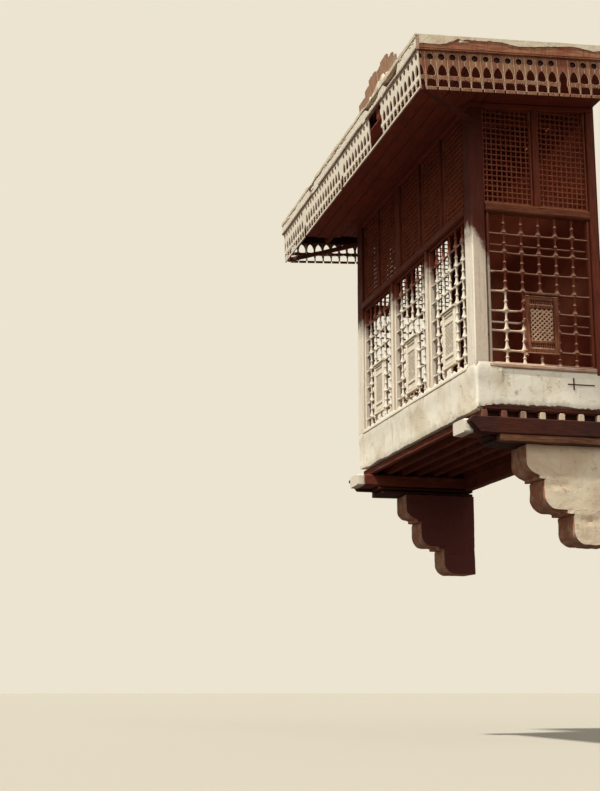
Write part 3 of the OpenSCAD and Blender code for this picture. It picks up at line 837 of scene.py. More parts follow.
def fine_panel(pile, matrix, x0, x1, top):
    """A panel of fine turned lattice: balls where the bars cross and a bead between them."""
    pitch, z0 = sizes().fine_pitch, transom_high.z
    columns = max(2, math.ceil((x1 - x0) / pitch))
    wide = (x1 - x0) / columns
    rows = int((top - z0) / pitch) + 1
    ball, link, bead = 0.0155, 0.0055, 0.0105

    def string(count, step, lead):
        cell = ((ball, 0.0), (link, 0.3), (bead, 0.5), (link, 0.7))
        marks = [(link, -lead)] + [(r, (i + t) * step) for i in range(count) for r, t in cell]
        return turned(marks + [(ball, count * step)], 6)

    points, faces = string(rows, pitch, 0.5 * pitch)
    for i in range(1, columns):
        pile.put(matrix, points + np.array([x0 + i * wide, 0, z0 + 0.5 * pitch]), faces)
    points, faces = string(columns, wide, 0.0)
    for k in range(rows):
        pile.put(matrix, lying(points) + np.array([x0, 0, z0 + (k + 0.5) * pitch]), faces)
    edges = ((x0 - 0.003, x0 + 0.018, z0, top), (x1 - 0.018, x1 + 0.003, z0, top),
             (x0, x1, z0 - 0.003, z0 + 0.02))
    for a, b, low, high in edges:
        pile.put(matrix, *timber((a, -0.025, low), (b, 0.02, high), 0.001, 0.004, 0.3))


class ORIEL_OT_upper_lattice(bpy.types.Operator):
    """Builds the fine lattice band above the transoms."""

    bl_idname = "oriel.build_upper_lattice"
    bl_label = "Fine upper lattice"

    def execute(self, context):
        panels = front_panels()
        groups = {"front_left": (0, panels[:2]), "front_right": (0, panels[2:]),
                  "left": (-1, end_panels()), "right": (1, end_panels())}
        for place, (side, spans) in groups.items():
            pile = Pile()
            for a, b in spans:
                fine_panel(pile, bay_matrix(side, 0, 0), a, b, WALL_TOP - (0.05 if side else 0.1))
            pile.points = [under_plates(p) for p in pile.points]
            name = place + "_upper_lattice"
            pile.build(name + "_turned", "fine", "smooth", name)
        return {"FINISHED"}


class ORIEL_OT_frame(bpy.types.Operator):
    """Builds the worn posts, mullions, sills and transoms."""

    bl_idname = "oriel.build_frame"
    bl_label = "Posts and rails"

    def execute(self, context):
        pile = Pile()
        tenon = 0.02
        for side in (-1, 1):
            x0, x1 = mirror(side, post_low.x, post_high.x)
            pile.bar((x0, FRONT, post_low.z - tenon), (x1, post_high.y, WALL_TOP), 0.003, 0.01, 0.1, side, 0,
                     under_plates)
        low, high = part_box("front_mullions")
        for side in (-1, 1):
            x0, x1 = mirror(side, BAY / 2, high.x)
            pile.bar((x0, low.y, low.z - tenon), (x1, high.y, high.z + tenon), 0.002, 0.007, 0.1, 5 + side)
        pile.build("worn_posts", "posts", "auto",
                   "left_corner_post right_corner_post front_mullions")

        pile = Pile()
        low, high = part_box("wall_posts")
        for side in (-1, 1):
            x0, x1 = mirror(side, high.x, high.x - UPRIGHT)
            pile.bar((x0, low.y, low.z - tenon), (x1, 0, WALL_TOP), 0.003, 0.008, 0.15, side, 0, under_plates)
        panels = front_panels()
        foot = transom_high.z - 0.01
        for (_, a), (b, _) in zip(panels, panels[1:]):
            pile.bar((a, FRONT, foot), (b, FRONT + UPRIGHT, WALL_TOP), 0.002, 0.006, 0.15, a, 0, under_plates)
        (_, a), (b, _) = end_panels()
        for side in (-1, 1):
            x0, x1 = mirror(side, HALF, HALF - UPRIGHT)
            pile.bar((x0, a, foot), (x1, b, WALL_TOP), 0.002, 0.006, 0.15, side, 0, under_plates)
        pile.build("worn_upper_posts", "dark_z", "auto", "wall_posts upper_mullions")

        pile = Pile()
        for node, tag in (("front_sill", 0), ("front_transom", 1)):
            low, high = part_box(node)
            pile.bar(low, high, 0.003, 0.012, 0.08, low.z, tag)
        for node, tag in (("end_sills", 2), ("end_transoms", 3)):
            low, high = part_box(node)
            for side in (-1, 1):
                x0, x1 = mirror(side, high.x, high.x - 0.135)
                pile.bar((x0, low.y, low.z), (x1, high.y, high.z), 0.003, 0.012, 0.08, side + low.z, tag)
        pile.build("worn_rails", "front_sill transom end_sill end_transom", "auto",
                   "front_sill front_transom end_sills end_transoms")
        return {"FINISHED"}


# Hanging boards, drawn down from the moulding in widths of one board

def curve_through(marks, steps):
    """A smooth line through a few marks."""
    marks = np.asarray(marks, float)
    padded = np.vstack([2 * marks[0] - marks[1], marks, 2 * marks[-1] - marks[-2]])
    line = []
    for i in range(1, len(padded) - 2):
        a, b, c, d = padded[i - 1:i + 3]
        for t in np.arange(steps) / steps:
            bend = (2 * a - 5 * b + 4 * c - d) * t ** 2 + (3 * b - a - 3 * c + d) * t ** 3
            line.append(0.5 * (2 * b + (c - a) * t + bend))
    return np.array(line + [marks[-1]])


def mirrored_hole(half):
    """A closed outline from the half on one side of the middle line."""
    half = np.asarray(half, float)
    other = half[::-1] * np.array([-1, 1])
    if abs(half[-1][0]) < 1e-9:
        other = other[1:]
    if abs(half[0][0]) < 1e-9:
        other = other[:-1]
    return np.vstack([half, other])


def fret_openings(rng, merged=False):
    """The right halves of a round hole, a bell below it and a cusped foot, some joined by slits."""
    ring = 0.29 + rng.uniform(-0.02, 0.02)
    centre = 0.48 + rng.uniform(-0.02, 0.02)
    wide = rng.uniform(0.95, 1.05)
    apex = 1.15 + rng.uniform(-0.03, 0.03)
    slit = rng.choice([0.0, 0.022, 0.03])
    slot = rng.choice([0.0, 0.0, 0.018])
    angles = np.linspace(0, math.pi - 0.12 if slit > 0 else math.pi, 10)
    circle = [(ring * math.sin(a), centre - ring * math.cos(a)) for a in angles]
    flare = ((0.24, 0.23), (0.32, 0.41), (0.375, 0.6), (0.395, 0.78), (0.37, 0.93), (0.27, 1.01))
    bell = curve_through([(0.04, apex + 0.02), (0.13, apex + 0.1)] + [(x * wide, apex + z) for x,
                                                                      z in flare], 3)
    base = [(0.0, apex + 1.03)]
    cusp = 2.45 + rng.uniform(-0.03, 0.03)
    crown = [(0, -0.05), (0.04, 0.0), (0.07, 0.09), (0.13, 0.02), (0.2, 0.02), (0.24, 0.11), (0.3, 0.05),
             (0.375, 0.06), (0.4, 0.15), (0.37, 0.24), (0.42, 0.31), (0.445, 0.4), (0.425, 0.48),
             (0.445, 0.62)]
    foot = [(x, cusp + z) for x, z in crown] + [(0.445, 3.165)]
    if slit > 0:
        halves = [np.vstack([circle, [(slit, centre + ring), (slit, apex)], bell, base])]
    else:
        halves = [np.array(circle), np.vstack([[(0, apex)], bell, base])]
    if merged:
        skirt = [(0.30, 2.32), (0.34, 2.5), (0.38, 2.7), (0.40, 3.0), (0.42, 3.165)]
        halves[-1] = np.vstack([[(0, apex)], bell[:-2], skirt])
        return halves
    if slot > 0:
        halves.append(np.array([(slot, 2.28), (slot, 2.39)]))
    return halves + [np.array(foot)]


def grown(line, by):
    """A closed line made larger all round, or smaller, by about a distance."""
    line = np.asarray(line, float)
    middle, half = (line.max(0) + line.min(0)) / 2, (line.max(0) - line.min(0)) / 2
    return middle + (line - middle) * (1 + by / np.maximum(half, 1e-3))


def sawn_board(outline, holes, thickness, worn):
    """A board sawn to an outline with holes, with slightly rounded edges: points and faces facing -Y."""
    curve = bpy.data.curves.new("pattern", "CURVE")
    curve.dimensions = "2D"
    curve.fill_mode = "BOTH"
    curve.extrude = thickness / 2 - worn
    curve.bevel_depth = worn
    curve.bevel_resolution = 0
    for line in [grown(outline, -worn)] + [grown(hole, worn) for hole in holes]:
        spline = curve.splines.new("POLY")
        spline.points.add(len(line) - 1)
        for point, (x, z) in zip(spline.points, line):
            point.co = (x, z, 0, 1)
        spline.use_cyclic_u = True
    pattern = bpy.data.objects.new("pattern", curve)
    mesh = bpy.data.meshes.new_from_object(pattern)
    points = np.array([v.co[:] for v in mesh.vertices])
    faces = [tuple(p.vertices) for p in mesh.polygons]
    # The bevelled faces get the second finish, which paints them pale: worn edges and a painted highlight
    edges = [int(0.3 < abs(p.normal.z) < 0.95) for p in mesh.polygons]
    bpy.data.objects.remove(pattern)
    bpy.data.curves.remove(curve)
    bpy.data.meshes.remove(mesh)
    return points @ np.array([[1, 0, 0], [0, 0, 1], [0, -1, 0]]), faces, edges


BOARD_T = 0.014
HALF_GAP = 0.0008


def fret_board(w, tall, rng, merged=False, foot=0.0, broken=False):
    """One hanging board from its top middle down."""
    holes = [mirrored_hole(h) * np.array([w, -w]) for h in fret_openings(rng, merged)]
    half, step, toe = w / 2 - HALF_GAP, tall - foot, 0.86
    if broken:
        marks = [(-1, 0), (1, 0), (1, -0.62), (0.7, -0.7), (0.1, -0.63), (-0.4, -0.75), (-1, -0.68)]
        outline = [(half * x, tall * z) for x, z in marks]
        holes = [h for h in holes if h[:, 1].min() > -tall * 0.58]
    elif foot == 0:
        outline = [(-half, 0), (half, 0), (half, -tall), (-half, -tall)]
    else:
        right = [(half, 0), (half, -step), (half * toe, -step - 0.004), (half * toe, -tall)]
        outline = [(-half, 0)] + right + [(-x, z) for x, z in right[:0:-1]]
    return sawn_board(np.array(outline), holes, BOARD_T, 0.0014)


def split_board(w, tall, rng, keep=1):
    """A board split down its middle through its openings, which keeps its right half, or its left for -1."""
    line = np.vstack(fret_openings(rng)) * np.array([w, -w])
    half = w / 2 - HALF_GAP
    outline = np.vstack([[(0, 0)], line, [(half, -tall), (half, 0)]])
    outline[:, 0] = np.maximum(outline[:, 0], 0.001)
    return sawn_board(outline * np.array([keep, 1]), [], BOARD_T, 0.001)


class ORIEL_OT_fretwork(bpy.types.Operator):
    """Builds the hanging boards of the canopy, with the boards that have gone or are broken."""

    bl_idname = "oriel.build_fretwork"
    bl_label = "Hanging boards"

    def execute(self, context):
        rng = np.random.default_rng(11)
        pitch = sizes().board_pitch
        tall = HANG_TOP - HANG_LOW
        strip, stand = 0.028, 0.0105
        # The front, counted from its right-hand end
        count = round(2 * EDGE / pitch)
        w = 2 * EDGE / count
        lost, broken, split = (11, 12, 13), (23, 38), 10
        whole = [fret_board(w, tall - strip, rng) for _ in range(7)]
        worn = [fret_board(w, tall - strip, rng, broken=True) for _ in range(2)]
        halved = split_board(w, tall - strip, rng)
        pile = Pile()
        for i in range(count):
            if i in lost:
                continue
            points, faces, edges = worn[i % 2] if i in broken else whole[int(rng.integers(len(whole)))]
            if i == split:
                points, faces, edges = halved
            tilt = Matrix.Rotation(rng.normal(0, 0.004), 4, "Y")
            place = (EDGE - (i + 0.5) * w, -EAVE_Y - stand + rng.uniform(-0.001, 0.001), HANG_TOP)
            points = moved(points, Matrix.Translation(place) @ tilt)
            points[:, 0] = np.clip(points[:, 0], -EDGE, EDGE)
            pile.add(leaning(points), faces, edges)
        # The strip along the front's foot runs on past the gap and stops at the broken boards
        cuts = (0, 23.2, 24.1, 38.1, 38.9, count)
        for a, b in zip(cuts[::2], cuts[1::2]):
            a, b = EDGE - a * w, EDGE - b * w
            pile.bar((b, -EAVE_Y - 0.022, HANG_LOW), (a, -EAVE_Y, HANG_LOW + strip), 0.002, 0.004, 0.1, a, 2,
                     leaning)
        pile.build("front_hanging_boards", "canopy worn_edge fascia", "flat", "front_valance")
        # The two ends, whose first and last boards are cut at the corner and at the wall
        first = 0.052
        count = round((EAVE_Y - first) / pitch)
        w = (EAVE_Y - first) / (count + 0.46)
        whole = [fret_board(w, tall, rng, foot=strip) for _ in range(8)]
        merged = fret_board(w, tall, rng, merged=True, foot=strip)
        halves = {keep: split_board(w, tall - 0.004, rng, keep) for keep in (1, -1)}
        for side, name in ((-1, "left_valance"), (1, "right_valance")):
            pile = Pile()
            for i in range(-1, count + 1):
                if i == 12 and side > 0:
                    points, faces, edges = merged
                else:
                    points, faces, edges = whole[int(rng.integers(len(whole)))]
                if i in (-1, count):
                    points, faces, edges = halves[side if i < 0 else -side]
                turn = Matrix.Rotation(side * math.pi / 2, 4, "Z") @ Matrix.Rotation(rng.normal(0, 0.005), 4,
                                                                                     "Y")
                place = (side * (EAVE_X + stand), first - EAVE_Y + (i + 0.5) * w, HANG_TOP)
                points = moved(points, Matrix.Translation(place) @ turn)
                points[:, 1] = np.clip(points[:, 1], -EAVE_Y, -0.001)
                pile.add(leaning(points), faces, edges)
            pile.build(name + "_boards", "canopy_end worn_edge", "flat", name)
        return {"FINISHED"}


# Fascia and roof

def ragged_board(start, end, out, low, top, thick, rows, step=0.03, seed=0.0, bites=(), wear=0.004):
    """A long board on edge from start to end, whose top is ragged; bites are (place, half width, depth)."""
    start, end, out = Vector(start), Vector(end), np.asarray(out, float)
    length = (end - start).length
    along = np.array((end - start).normalized())
    count = int(length / step) + 1
    points = []
    for t in np.arange(count + 1) * length / count:
        place = np.array(start) + along * t
        edge = top - 0.02 * abs(wave(t * 2.2, seed, 0)) - 0.012 * abs(wave(t * 11, seed, 3))
        for middle, half, depth in bites:
            fall = max(0.0, 1 - abs(t - middle) / half)
            edge -= depth * min(1.0, fall * 2.2) * (1 + 0.35 * wave(t * 17, seed, 9))
        edge = max(edge, low + 0.012)
        for off, z0, z1 in ((out * thick, low, edge), (out * 0, edge, low)):
            points += [place + off + np.array([0, 0, z0 + (z1 - z0) * k / (rows - 1)]) for k in range(rows)]
    points = np.array(points)
    points += wander(points, 0.25, wear, seed) + wander(points, 0.05, wear * 0.5, seed + 2)
    faces = lining(count + 1, 2 * rows)
    return points, flipped(faces) if np.cross(along, out)[2] > 0 else faces


def waving(axis, amount):
    """Lets a long moulding rise and fall a little along its length, and leans it."""
    def bend(points):
        points = np.array(points)
        points[:, 2] += [amount * wave(v * 2.3, 5, 1) for v in points[:, axis]]
        return leaning(points)
    return bend


def heap(centre, size, seed):
    """A small heap of earth or fallen plaster."""
    rng = np.random.default_rng(seed)
    rings = 5
    marks = [(math.sin(math.pi / 2 * (1 - k / rings)), k / rings) for k in range(rings)] + [(0.12, 1.0)]
    points, faces = turned(marks, 9)
    turn = rng.uniform(0, math.pi)
    c, s = math.cos(turn), math.sin(turn)
    points = points * np.asarray(size) @ np.array([[c, s, 0], [-s, c, 0], [0, 0, 1]])
    points += wander(points, 0.06, max(size) * 0.35, seed) * np.array([1, 1, 0.5])
    points[:, 2] = np.maximum(points[:, 2], -0.004)
    return points + np.asarray(centre), faces


class ORIEL_OT_canopy(bpy.types.Operator):
    """Builds the fascia, its moulding, the roof boards and the earth lying on them."""

    bl_idname = "oriel.build_canopy"
    bl_label = "Fascia and roof"

    def execute(self, context):
        low, top, out = HANG_TOP, FASCIA_TOP, FASCIA_OUT
        pile = Pile()
        ends = (FASCIA_EDGE, -EAVE_Y, 0), (-FASCIA_EDGE, -EAVE_Y, 0), (0, -1, 0)
        bites = ((0.79, 0.26, 0.15), (1.42, 0.3, 0.09), (3.95, 0.16, 0.10), (3.1, 0.2, 0.04),
                 (4.9, 0.25, 0.03))
        points, faces = ragged_board(*ends, low, top - 0.015, out * 0.75, 9, seed=1.0, bites=bites)
        pile.add(inside_fascia(points), faces)
        # A rim of earth and lime runs on over the hole near the corner
        bites = ((1.5, 0.25, 0.02), (3.95, 0.2, 0.022))
        points, faces = ragged_board(*ends, top - 0.04, top, out * 0.9, 4, seed=8.0, bites=bites, wear=0.006)
        pile.add(inside_fascia(points), faces, 1)
        for a, b in ((FASCIA_EDGE, 1.7), (1.66, 1.08), (0.98, -0.88), (-1.16, -FASCIA_EDGE)):
            for up, h, deep in ((0.0, 0.018, 1.0), (0.021, 0.012, 0.9)):
                corners = (b, -EAVE_Y - out * deep, low + up), (a, -EAVE_Y, low + up + h)
                pile.bar(*corners, 0.003, 0.005, 0.07, a + up, 2, waving(0, 0.006))
        pile.build("front_fascia_worn", "fascia earth fascia", "auto", "front_fascia")
        pile = Pile()
        for side in (-1, 1):
            ends = (side * EAVE_X, -EAVE_Y, 0), (side * EAVE_X, PAST_WALL, 0), (side, 0, 0)
            points, faces = ragged_board(*ends, low, top - 0.012, out * 0.75, 8, seed=4.0 + side)
            pile.add(inside_fascia(points), faces)
            # The crust of earth hangs down over the board, so it is drawn upside down
            bites = ((0.1, 0.3, -0.03), (0.62, 0.4, 0.035), (1.5, 0.3, 0.02))
            points, faces = ragged_board(*ends, -top, -top + 0.07, out * 0.93, 5, 0.025, 7.0 + side, bites,
                                         0.003)
            points[:, 2] *= -1
            pile.add(inside_fascia(points), flipped(faces), 1)
            for up, h, deep in ((0.0, 0.018, 1.0), (0.021, 0.012, 0.92)):
                x0, x1 = mirror(side, EAVE_X, EAVE_X + out * deep)
                corners = (x0, -EAVE_Y, low + up), (x1, PAST_WALL, low + up + h)
                pile.bar(*corners, 0.002, 0.005, 0.09, side + up, 2, waving(1, 0.003))
        pile.build("end_fascias_worn", "fascia_end earth moulding", "auto", "end_fascias")

        rng = np.random.default_rng(5)
        roof_t = 0.028
        # Broken boards that stand on the roof's front edge, taller in their middle
        pile = Pile()
        x = 0.80
        while x < 2.03:
            wide = rng.uniform(0.16, 0.24)
            places, heights = (0.7, 0.9, 1.1, 1.3, 1.6, 1.8, 2.1), (0.13, 0.20, 0.27, 0.32, 0.34, 0.30, 0.19)
            tall = float(np.interp(x + wide / 2, places, heights)) - rng.uniform(0.0, 0.02)
            cuts = [tall * (1 - rng.uniform(0.0, 0.05)) for _ in range(4)]
            edge = wide - 0.003
            outline = [(0, -0.01), (edge, -0.01), (edge, cuts[0]), (wide * 0.72, tall), (wide * 0.5, cuts[1]),
                       (wide * 0.3, cuts[2]), (wide * 0.22, tall * 0.97), (0, cuts[3])]
            points, faces, _ = sawn_board(outline, [], 0.02, 0.001)
            points[:, 0] += points[:, 2] * rng.uniform(-0.02, 0.05)
            points += np.array([x, -EAVE_Y + 0.012 + rng.choice([0.0, 0.022]), ROOF + roof_t])
            points[:, 0] = np.clip(points[:, 0], 0.72, 2.06)
            pile.add(leaning(points), faces)
            x += wide
        pile.build("broken_roof_boards", "stubs", "flat", "roof_stubs")

        pile = Pile()
        y = -EAVE_Y
        while y < -0.02:
            wide = min(rng.uniform(0.16, 0.24), 0.02 - y)
            x = -EAVE_X
            while x < EAVE_X - 0.1:
                long = min(rng.uniform(1.4, 2.4), EAVE_X - x)
                if EAVE_X - x - long < 0.5:
                    long = EAVE_X - x
                lift = ROOF + rng.uniform(0, 0.004)
                corners = (x + 0.001, y + 0.001, lift), (x + long - 0.001, y + wide - 0.001, lift + roof_t)
                pile.bar(*corners, 0.001, 0.003, 0.25, x + y, 0, leaning)
                x += long
            y += wide
        # Broken ends of roof boards, lifted where the fascia has gone
        for x, turn, tilt, long in ((1.28, 0.5, -0.12, 0.5), (1.5, -0.4, -0.1, 0.42),
                                    (1.72, 0.9, -0.14, 0.36),
                                    (1.12, 1.3, -0.08, 0.34), (2.05, 0.2, -0.07, 0.4),
                                    (-1.35, 0.4, -0.06, 0.4),
                                    (-1.1, -0.5, -0.05, 0.3)):
            points, faces = timber((-long / 2, -0.06, 0), (long / 2, 0.06, 0.024), 0.004, 0.004, 0.08, x)
            place = Matrix.Translation((x, -EAVE_Y + 0.22, ROOF + 0.062))
            turns = Matrix.Rotation(turn, 4, "Z") @ Matrix.Rotation(tilt, 4, "Y")
            pile.add(leaning(moved(points, place @ turns)), faces)
        pile.build("worn_roof_boards", "roof", "auto", "roof_boards")

        pile = Pile()
        foremost = -EAVE_Y - FASCIA_OUT + 0.006
        for k in range(120):
            side = rng.choice([-1, 1, 0, 0])
            if side == 0:
                x, y = rng.uniform(-EAVE_X, EAVE_X), -EAVE_Y + rng.uniform(-0.01, 0.12)
                if 0.6 < x < 2.2 or -1.5 < x < -0.9:
                    continue
            else:
                x, y = side * (EAVE_X - rng.uniform(-0.005, 0.12)), -EAVE_Y + rng.uniform(0, EAVE_Y - 0.1)
            high = rng.uniform(0.02, 0.075)
            size = (rng.uniform(0.05, 0.16), rng.uniform(0.04, 0.1), high)
            if side != 0:
                size = (size[1], size[0], size[2])
            points, faces = heap((x, y, ROOF + 0.022), size, k)
            points[:, 2] = np.minimum(points[:, 2], FASCIA_TOP + 0.012)
            points[:, 0] = np.clip(points[:, 0], -FASCIA_EDGE + 0.006, FASCIA_EDGE - 0.006)
            points[:, 1] = np.maximum(points[:, 1], foremost)
            pile.add(leaning(points), faces)
        # Clods of lime that hide the foot of the broken boards
        for x, wide, high in ((1.3, 0.1, 0.06), (1.42, 0.12, 0.08), (1.56, 0.16, 0.12), (1.72, 0.17, 0.13),
                              (1.88, 0.12, 0.09)):
            points, faces = heap((x, -EAVE_Y - 0.01, ROOF + 0.03), (wide, 0.06, high), int(100 * x))
            points[:, 1] = np.maximum(points[:, 1], foremost)
            pile.add(leaning(points), faces)
        pile.build("roof_earth", "earth", "smooth")
        return {"FINISHED"}


class ORIEL_OT_soffit(bpy.types.Operator):
    """Builds the soffit boards, the canopy's beams, the top plates and the corner struts."""

    bl_idname = "oriel.build_soffit"
    bl_label = "Soffit and beams"

    def execute(self, context):
        rng = np.random.default_rng(8)
        inner = post_high.y
        pile = Pile()
        y = -EAVE_Y
        while y < inner - 0.01:
            wide = min(rng.uniform(0.13, 0.2), inner - y)
            split = rng.uniform(-1, 1)
            for a, b in ((rng.uniform(-0.05, 0.05) - 2.34, split), (split, EAVE_X)):
                corners = (a, y + SEAM, SOFFIT), (b - 0.004, y + wide - SEAM, DECK)
                pile.bar(*corners, 0.002, 0.004, 0.3, y + a, 0, leaning)
            y += wide
        for side in (-1, 1):
            x = HALF - UPRIGHT
            while x < EAVE_X - 0.01:
                wide = min(rng.uniform(0.13, 0.2), EAVE_X - x)
                if side < 0 and x > 2.3:
                    break
                x0, x1 = mirror(side, x + SEAM, x + wide - SEAM)
                pile.bar((x0, inner + SEAM, SOFFIT), (x1, PAST_WALL, DECK), 0.002, 0.004, 0.3, x, 1, leaning)
                x += wide
        pile.build("soffit_boards", "soffit_x soffit_y", "auto", "front_soffit end_soffits")

        pile = Pile()
        beam = 0.090
        pitch = (2 * HALF - beam) / 7
        for i in range(8):
            x = -HALF + i * pitch
            pile.bar((x, -EAVE_Y + 0.004, DECK), (x + beam, PAST_WALL, ROOF), 0.004, 0.01, 0.3, i, 1, leaning)
        pitch = (EAVE_Y - beam) / 4
        for side in (-1, 1):
            for i in range(5):
                y = -EAVE_Y + i * pitch
                x0, x1 = mirror(side, HALF, EAVE_X - 0.036)
                corners = (x0, y + 0.004, DECK), (x1, min(y + beam, PAST_WALL), ROOF)
                pile.bar(*corners, 0.004, 0.01, 0.3, i + side, 0, leaning)
            # The outermost beam at each end takes the very dark finish: painted shade
            x0, x1 = mirror(side, EAVE_X - 0.034, EAVE_X - 0.004)
            pile.bar((x0, -EAVE_Y + 0.004, DECK), (x1, PAST_WALL, ROOF), 0.002, 0.006, 0.2, side, 3, leaning)
        foot = SOFFIT - PLATE
        wall = HALF - UPRIGHT
        pile.bar((-HALF, FRONT, foot), (HALF, inner, SOFFIT), 0.003, 0.008, 0.2, 1, 0, leaning)
        pile.bar((-wall, -0.09, foot), (wall, PAST_WALL, DECK), 0.003, 0.008, 0.3, 2, 0, leaning)
        for side in (-1, 1):
            x0, x1 = mirror(side, HALF, wall)
            pile.bar((x0, inner, foot), (x1, PAST_WALL, SOFFIT), 0.003, 0.008, 0.2, side, 1, leaning)
            # A strut from the corner post out to the hanging boards' corner
            t, z = 0.024, HANG_LOW + 0.028
            start = np.array([side * (HALF - 0.02), FRONT + 0.02, z])
            end = np.array([side * (EAVE_X - 0.012), -EAVE_Y + 0.012, z])
            ahead = (end - start) / np.linalg.norm(end - start)
            across = (-ahead[1], ahead[0], 0)
            outline = both_halves([(-t, -t * 0.8), (-t * 0.8, -t), (t * 0.8, -t), (t, -t * 0.8)])
            stations = [(start + (end - start) * k / 8, across, (0, 0, 1)) for k in range(9)]
            points, faces = swept(outline, stations)
            points += wander(points, 0.1, 0.004, 6)
            points[:, 0] = np.clip(points[:, 0], -EAVE_X, EAVE_X)
            points[:, 1] = np.maximum(points[:, 1], -EAVE_Y)
            pile.add(leaning(points), faces, 2)
        pile.build("canopy_frame", "soffit_x soffit_y strut deep", "auto",
                   "deck_beams end_outriggers front_top_plate head_beam end_top_plates corner_struts")
        return {"FINISHED"}


class ORIEL_OT_floor(bpy.types.Operator):
    """Builds the beams, joists, boards and bearing planks under the room."""

    bl_idname = "oriel.build_floor"
    bl_label = "Floor and beams"

    def execute(self, context):
        pile = Pile()
        low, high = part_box("floor_joists")
        gaps, thick = 6, 0.067
        pitch = (high.y - thick - low.y) / gaps
        for i in range(gaps + 1):
            y = low.y + i * pitch
            pile.bar((low.x, y, low.z), (high.x, y + thick, high.z), 0.004, 0.01, 0.12, i)
        # Boards that close the gaps between the joists' ends, in the very dark finish: painted shade
        for i in range(gaps):
            y = low.y + i * pitch + thick
            for side in (-1, 1):
                x0, x1 = mirror(side, high.x - 0.12, high.x - 0.095)
                corners = (x0, y - 0.004, low.z + SEAM), (x1, y + pitch - thick + 0.004, high.z - SEAM)
                pile.bar(*corners, 0.001, 0.004, 0.1, 0.0, 2)
        low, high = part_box("floor_boards")
        x = low.x
        rng = np.random.default_rng(3)
        while x < high.x - 0.01:
            wide = min(rng.uniform(0.17, 0.25), high.x - x)
            # The outermost boards take the very dark finish: painted shade
            outer = x - low.x < 0.01 or high.x - x - wide < 0.01
            corners = (x + SEAM, low.y, low.z), (x + wide - SEAM, high.y, high.z)
            pile.bar(*corners, 0.002, 0.004, 0.3, x, 2 if outer else 1)
            x += wide
        pile.bar(*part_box("wall_beam"), 0.003, 0.01, 0.2, 4)
        pile.build("floor_frame", "joist floor deep", "auto",
                   "floor_joists floor_boards wall_beam")

        pile = Pile()
        b_low, b_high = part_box("bracket_beams")
        p_low, p_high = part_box("bearing_planks")
        s_low, s_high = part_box("right_side_beam")
        inner, middle = bracket_low.x + 0.02, (p_low.z + p_high.z) / 2
        h, tip = s_high.z - s_low.z, -s_low.y
        nose = tip + FRONT
        # Side beam: how far out each section stands, and its lower and upper edge; the tip is cut back
        marks = [(t, s_low.z, s_high.z) for t in (0.0, *np.arange(0.12, tip - nose, 0.1), tip - nose)]
        marks.append((tip - h / 4, s_low.z + (nose - h / 4) / nose * h * 0.75, s_high.z))
        marks.append((tip - 0.01, s_high.z - h / 4 - 0.012, s_high.z - h / 4 + 0.008))
        half, k, c = UPRIGHT / 2 - 0.004, h / 2 - 0.003, 0.012
        outline = both_halves([(-half, -k + c), (-half + c, -k), (0, -k), (half - c, -k), (half, -k + c),
                               (half, -k / 3), (half, k / 3)])
        for side in (-1, 1):
            x0, x1 = mirror(side, inner, b_high.x)
            pile.bar((x0, b_low.y, b_low.z), (x1, 0, b_high.z), 0.006, 0.016, 0.08, 7 + side, 1)
            x0, x1 = mirror(side, inner, b_high.x - 0.004)
            pile.bar((x0, p_low.y, p_low.z), (x1, 0, middle - SEAM), 0.006, 0.012, 0.08, 9 + side)
            pile.bar((x0, p_low.y - 0.05, middle + SEAM), (x1, 0, p_high.z), 0.006, 0.012, 0.08, 11 + side)
            # The lower plank runs on outward below the side beam
            x0, x1 = mirror(side, b_high.x, p_high.x)
            pile.bar((x0, p_low.y, p_low.z), (x1, 0, s_low.z + 0.006), 0.003, 0.008, 0.08, 13 + side, 2)
            x = side * (s_high.x - UPRIGHT / 2)
            stations = [((x, -t, (z0 + z1) / 2), (1, 0, 0), (0, 0, (z1 - z0) / h)) for t, z0, z1 in marks]
            points, faces = swept(outline, stations)
            points += wander(points, 0.2, 0.004, side) + wander(points, 0.05, 0.002, side + 4)
            points[:, 1] = np.minimum(points[:, 1], 0)
            pile.add(points, flipped(faces))
        pile.build("worn_beams", "beam nose_beam plank", "auto",
                   "left_side_beam right_side_beam bracket_beams bearing_planks")
        return {"FINISHED"}


# Plaster

ROUND_BY = 0.035


def outer_line():
    """The parapet's outer line, from the wall round both corners: place, outward direction and part."""
    reach = -parapet_low.y - ROUND_BY
    corner = [(HALF - ROUND_BY * (1 - math.cos(a)), -reach - ROUND_BY * math.sin(a), math.cos(a),
               -math.sin(a), "corner")
              for a in np.linspace(math.pi / 2, 0, 7)[1:-1]]
    flank = [(HALF, y, 1.0, 0.0, "end") for y in np.linspace(-reach, 0, 96)]
    right = corner + flank
    left = [(-x, y, -nx, ny, part) for x, y, nx, ny, part in reversed(right)]
    front = [(x, parapet_low.y, 0.0, -1.0, "front") for x in np.linspace(-HALF + ROUND_BY, HALF - ROUND_BY,
                                                                         211)]
    return left + front + right


def lap_top(x):
    """How high the front plaster reaches: up round each spindle's foot, lowest between them."""
    lap = sill_high.z + 0.004
    if abs(x) > transom_high.x - 0.01:
        return parapet_high.z + 0.03 + 0.01 * wave(x * 9, 1, 2)
    inside = (x + BAY_PITCH / 2) % BAY_PITCH - (BAY_PITCH - BAY) / 2
    if inside < 0 or inside > BAY:
        return lap + 0.03
    phase = math.cos(inside / CELL * 2 * math.pi)
    return lap + 0.03 * max(0.0, phase) ** 0.7 + 0.004 * wave(x * 13, 3, 2)


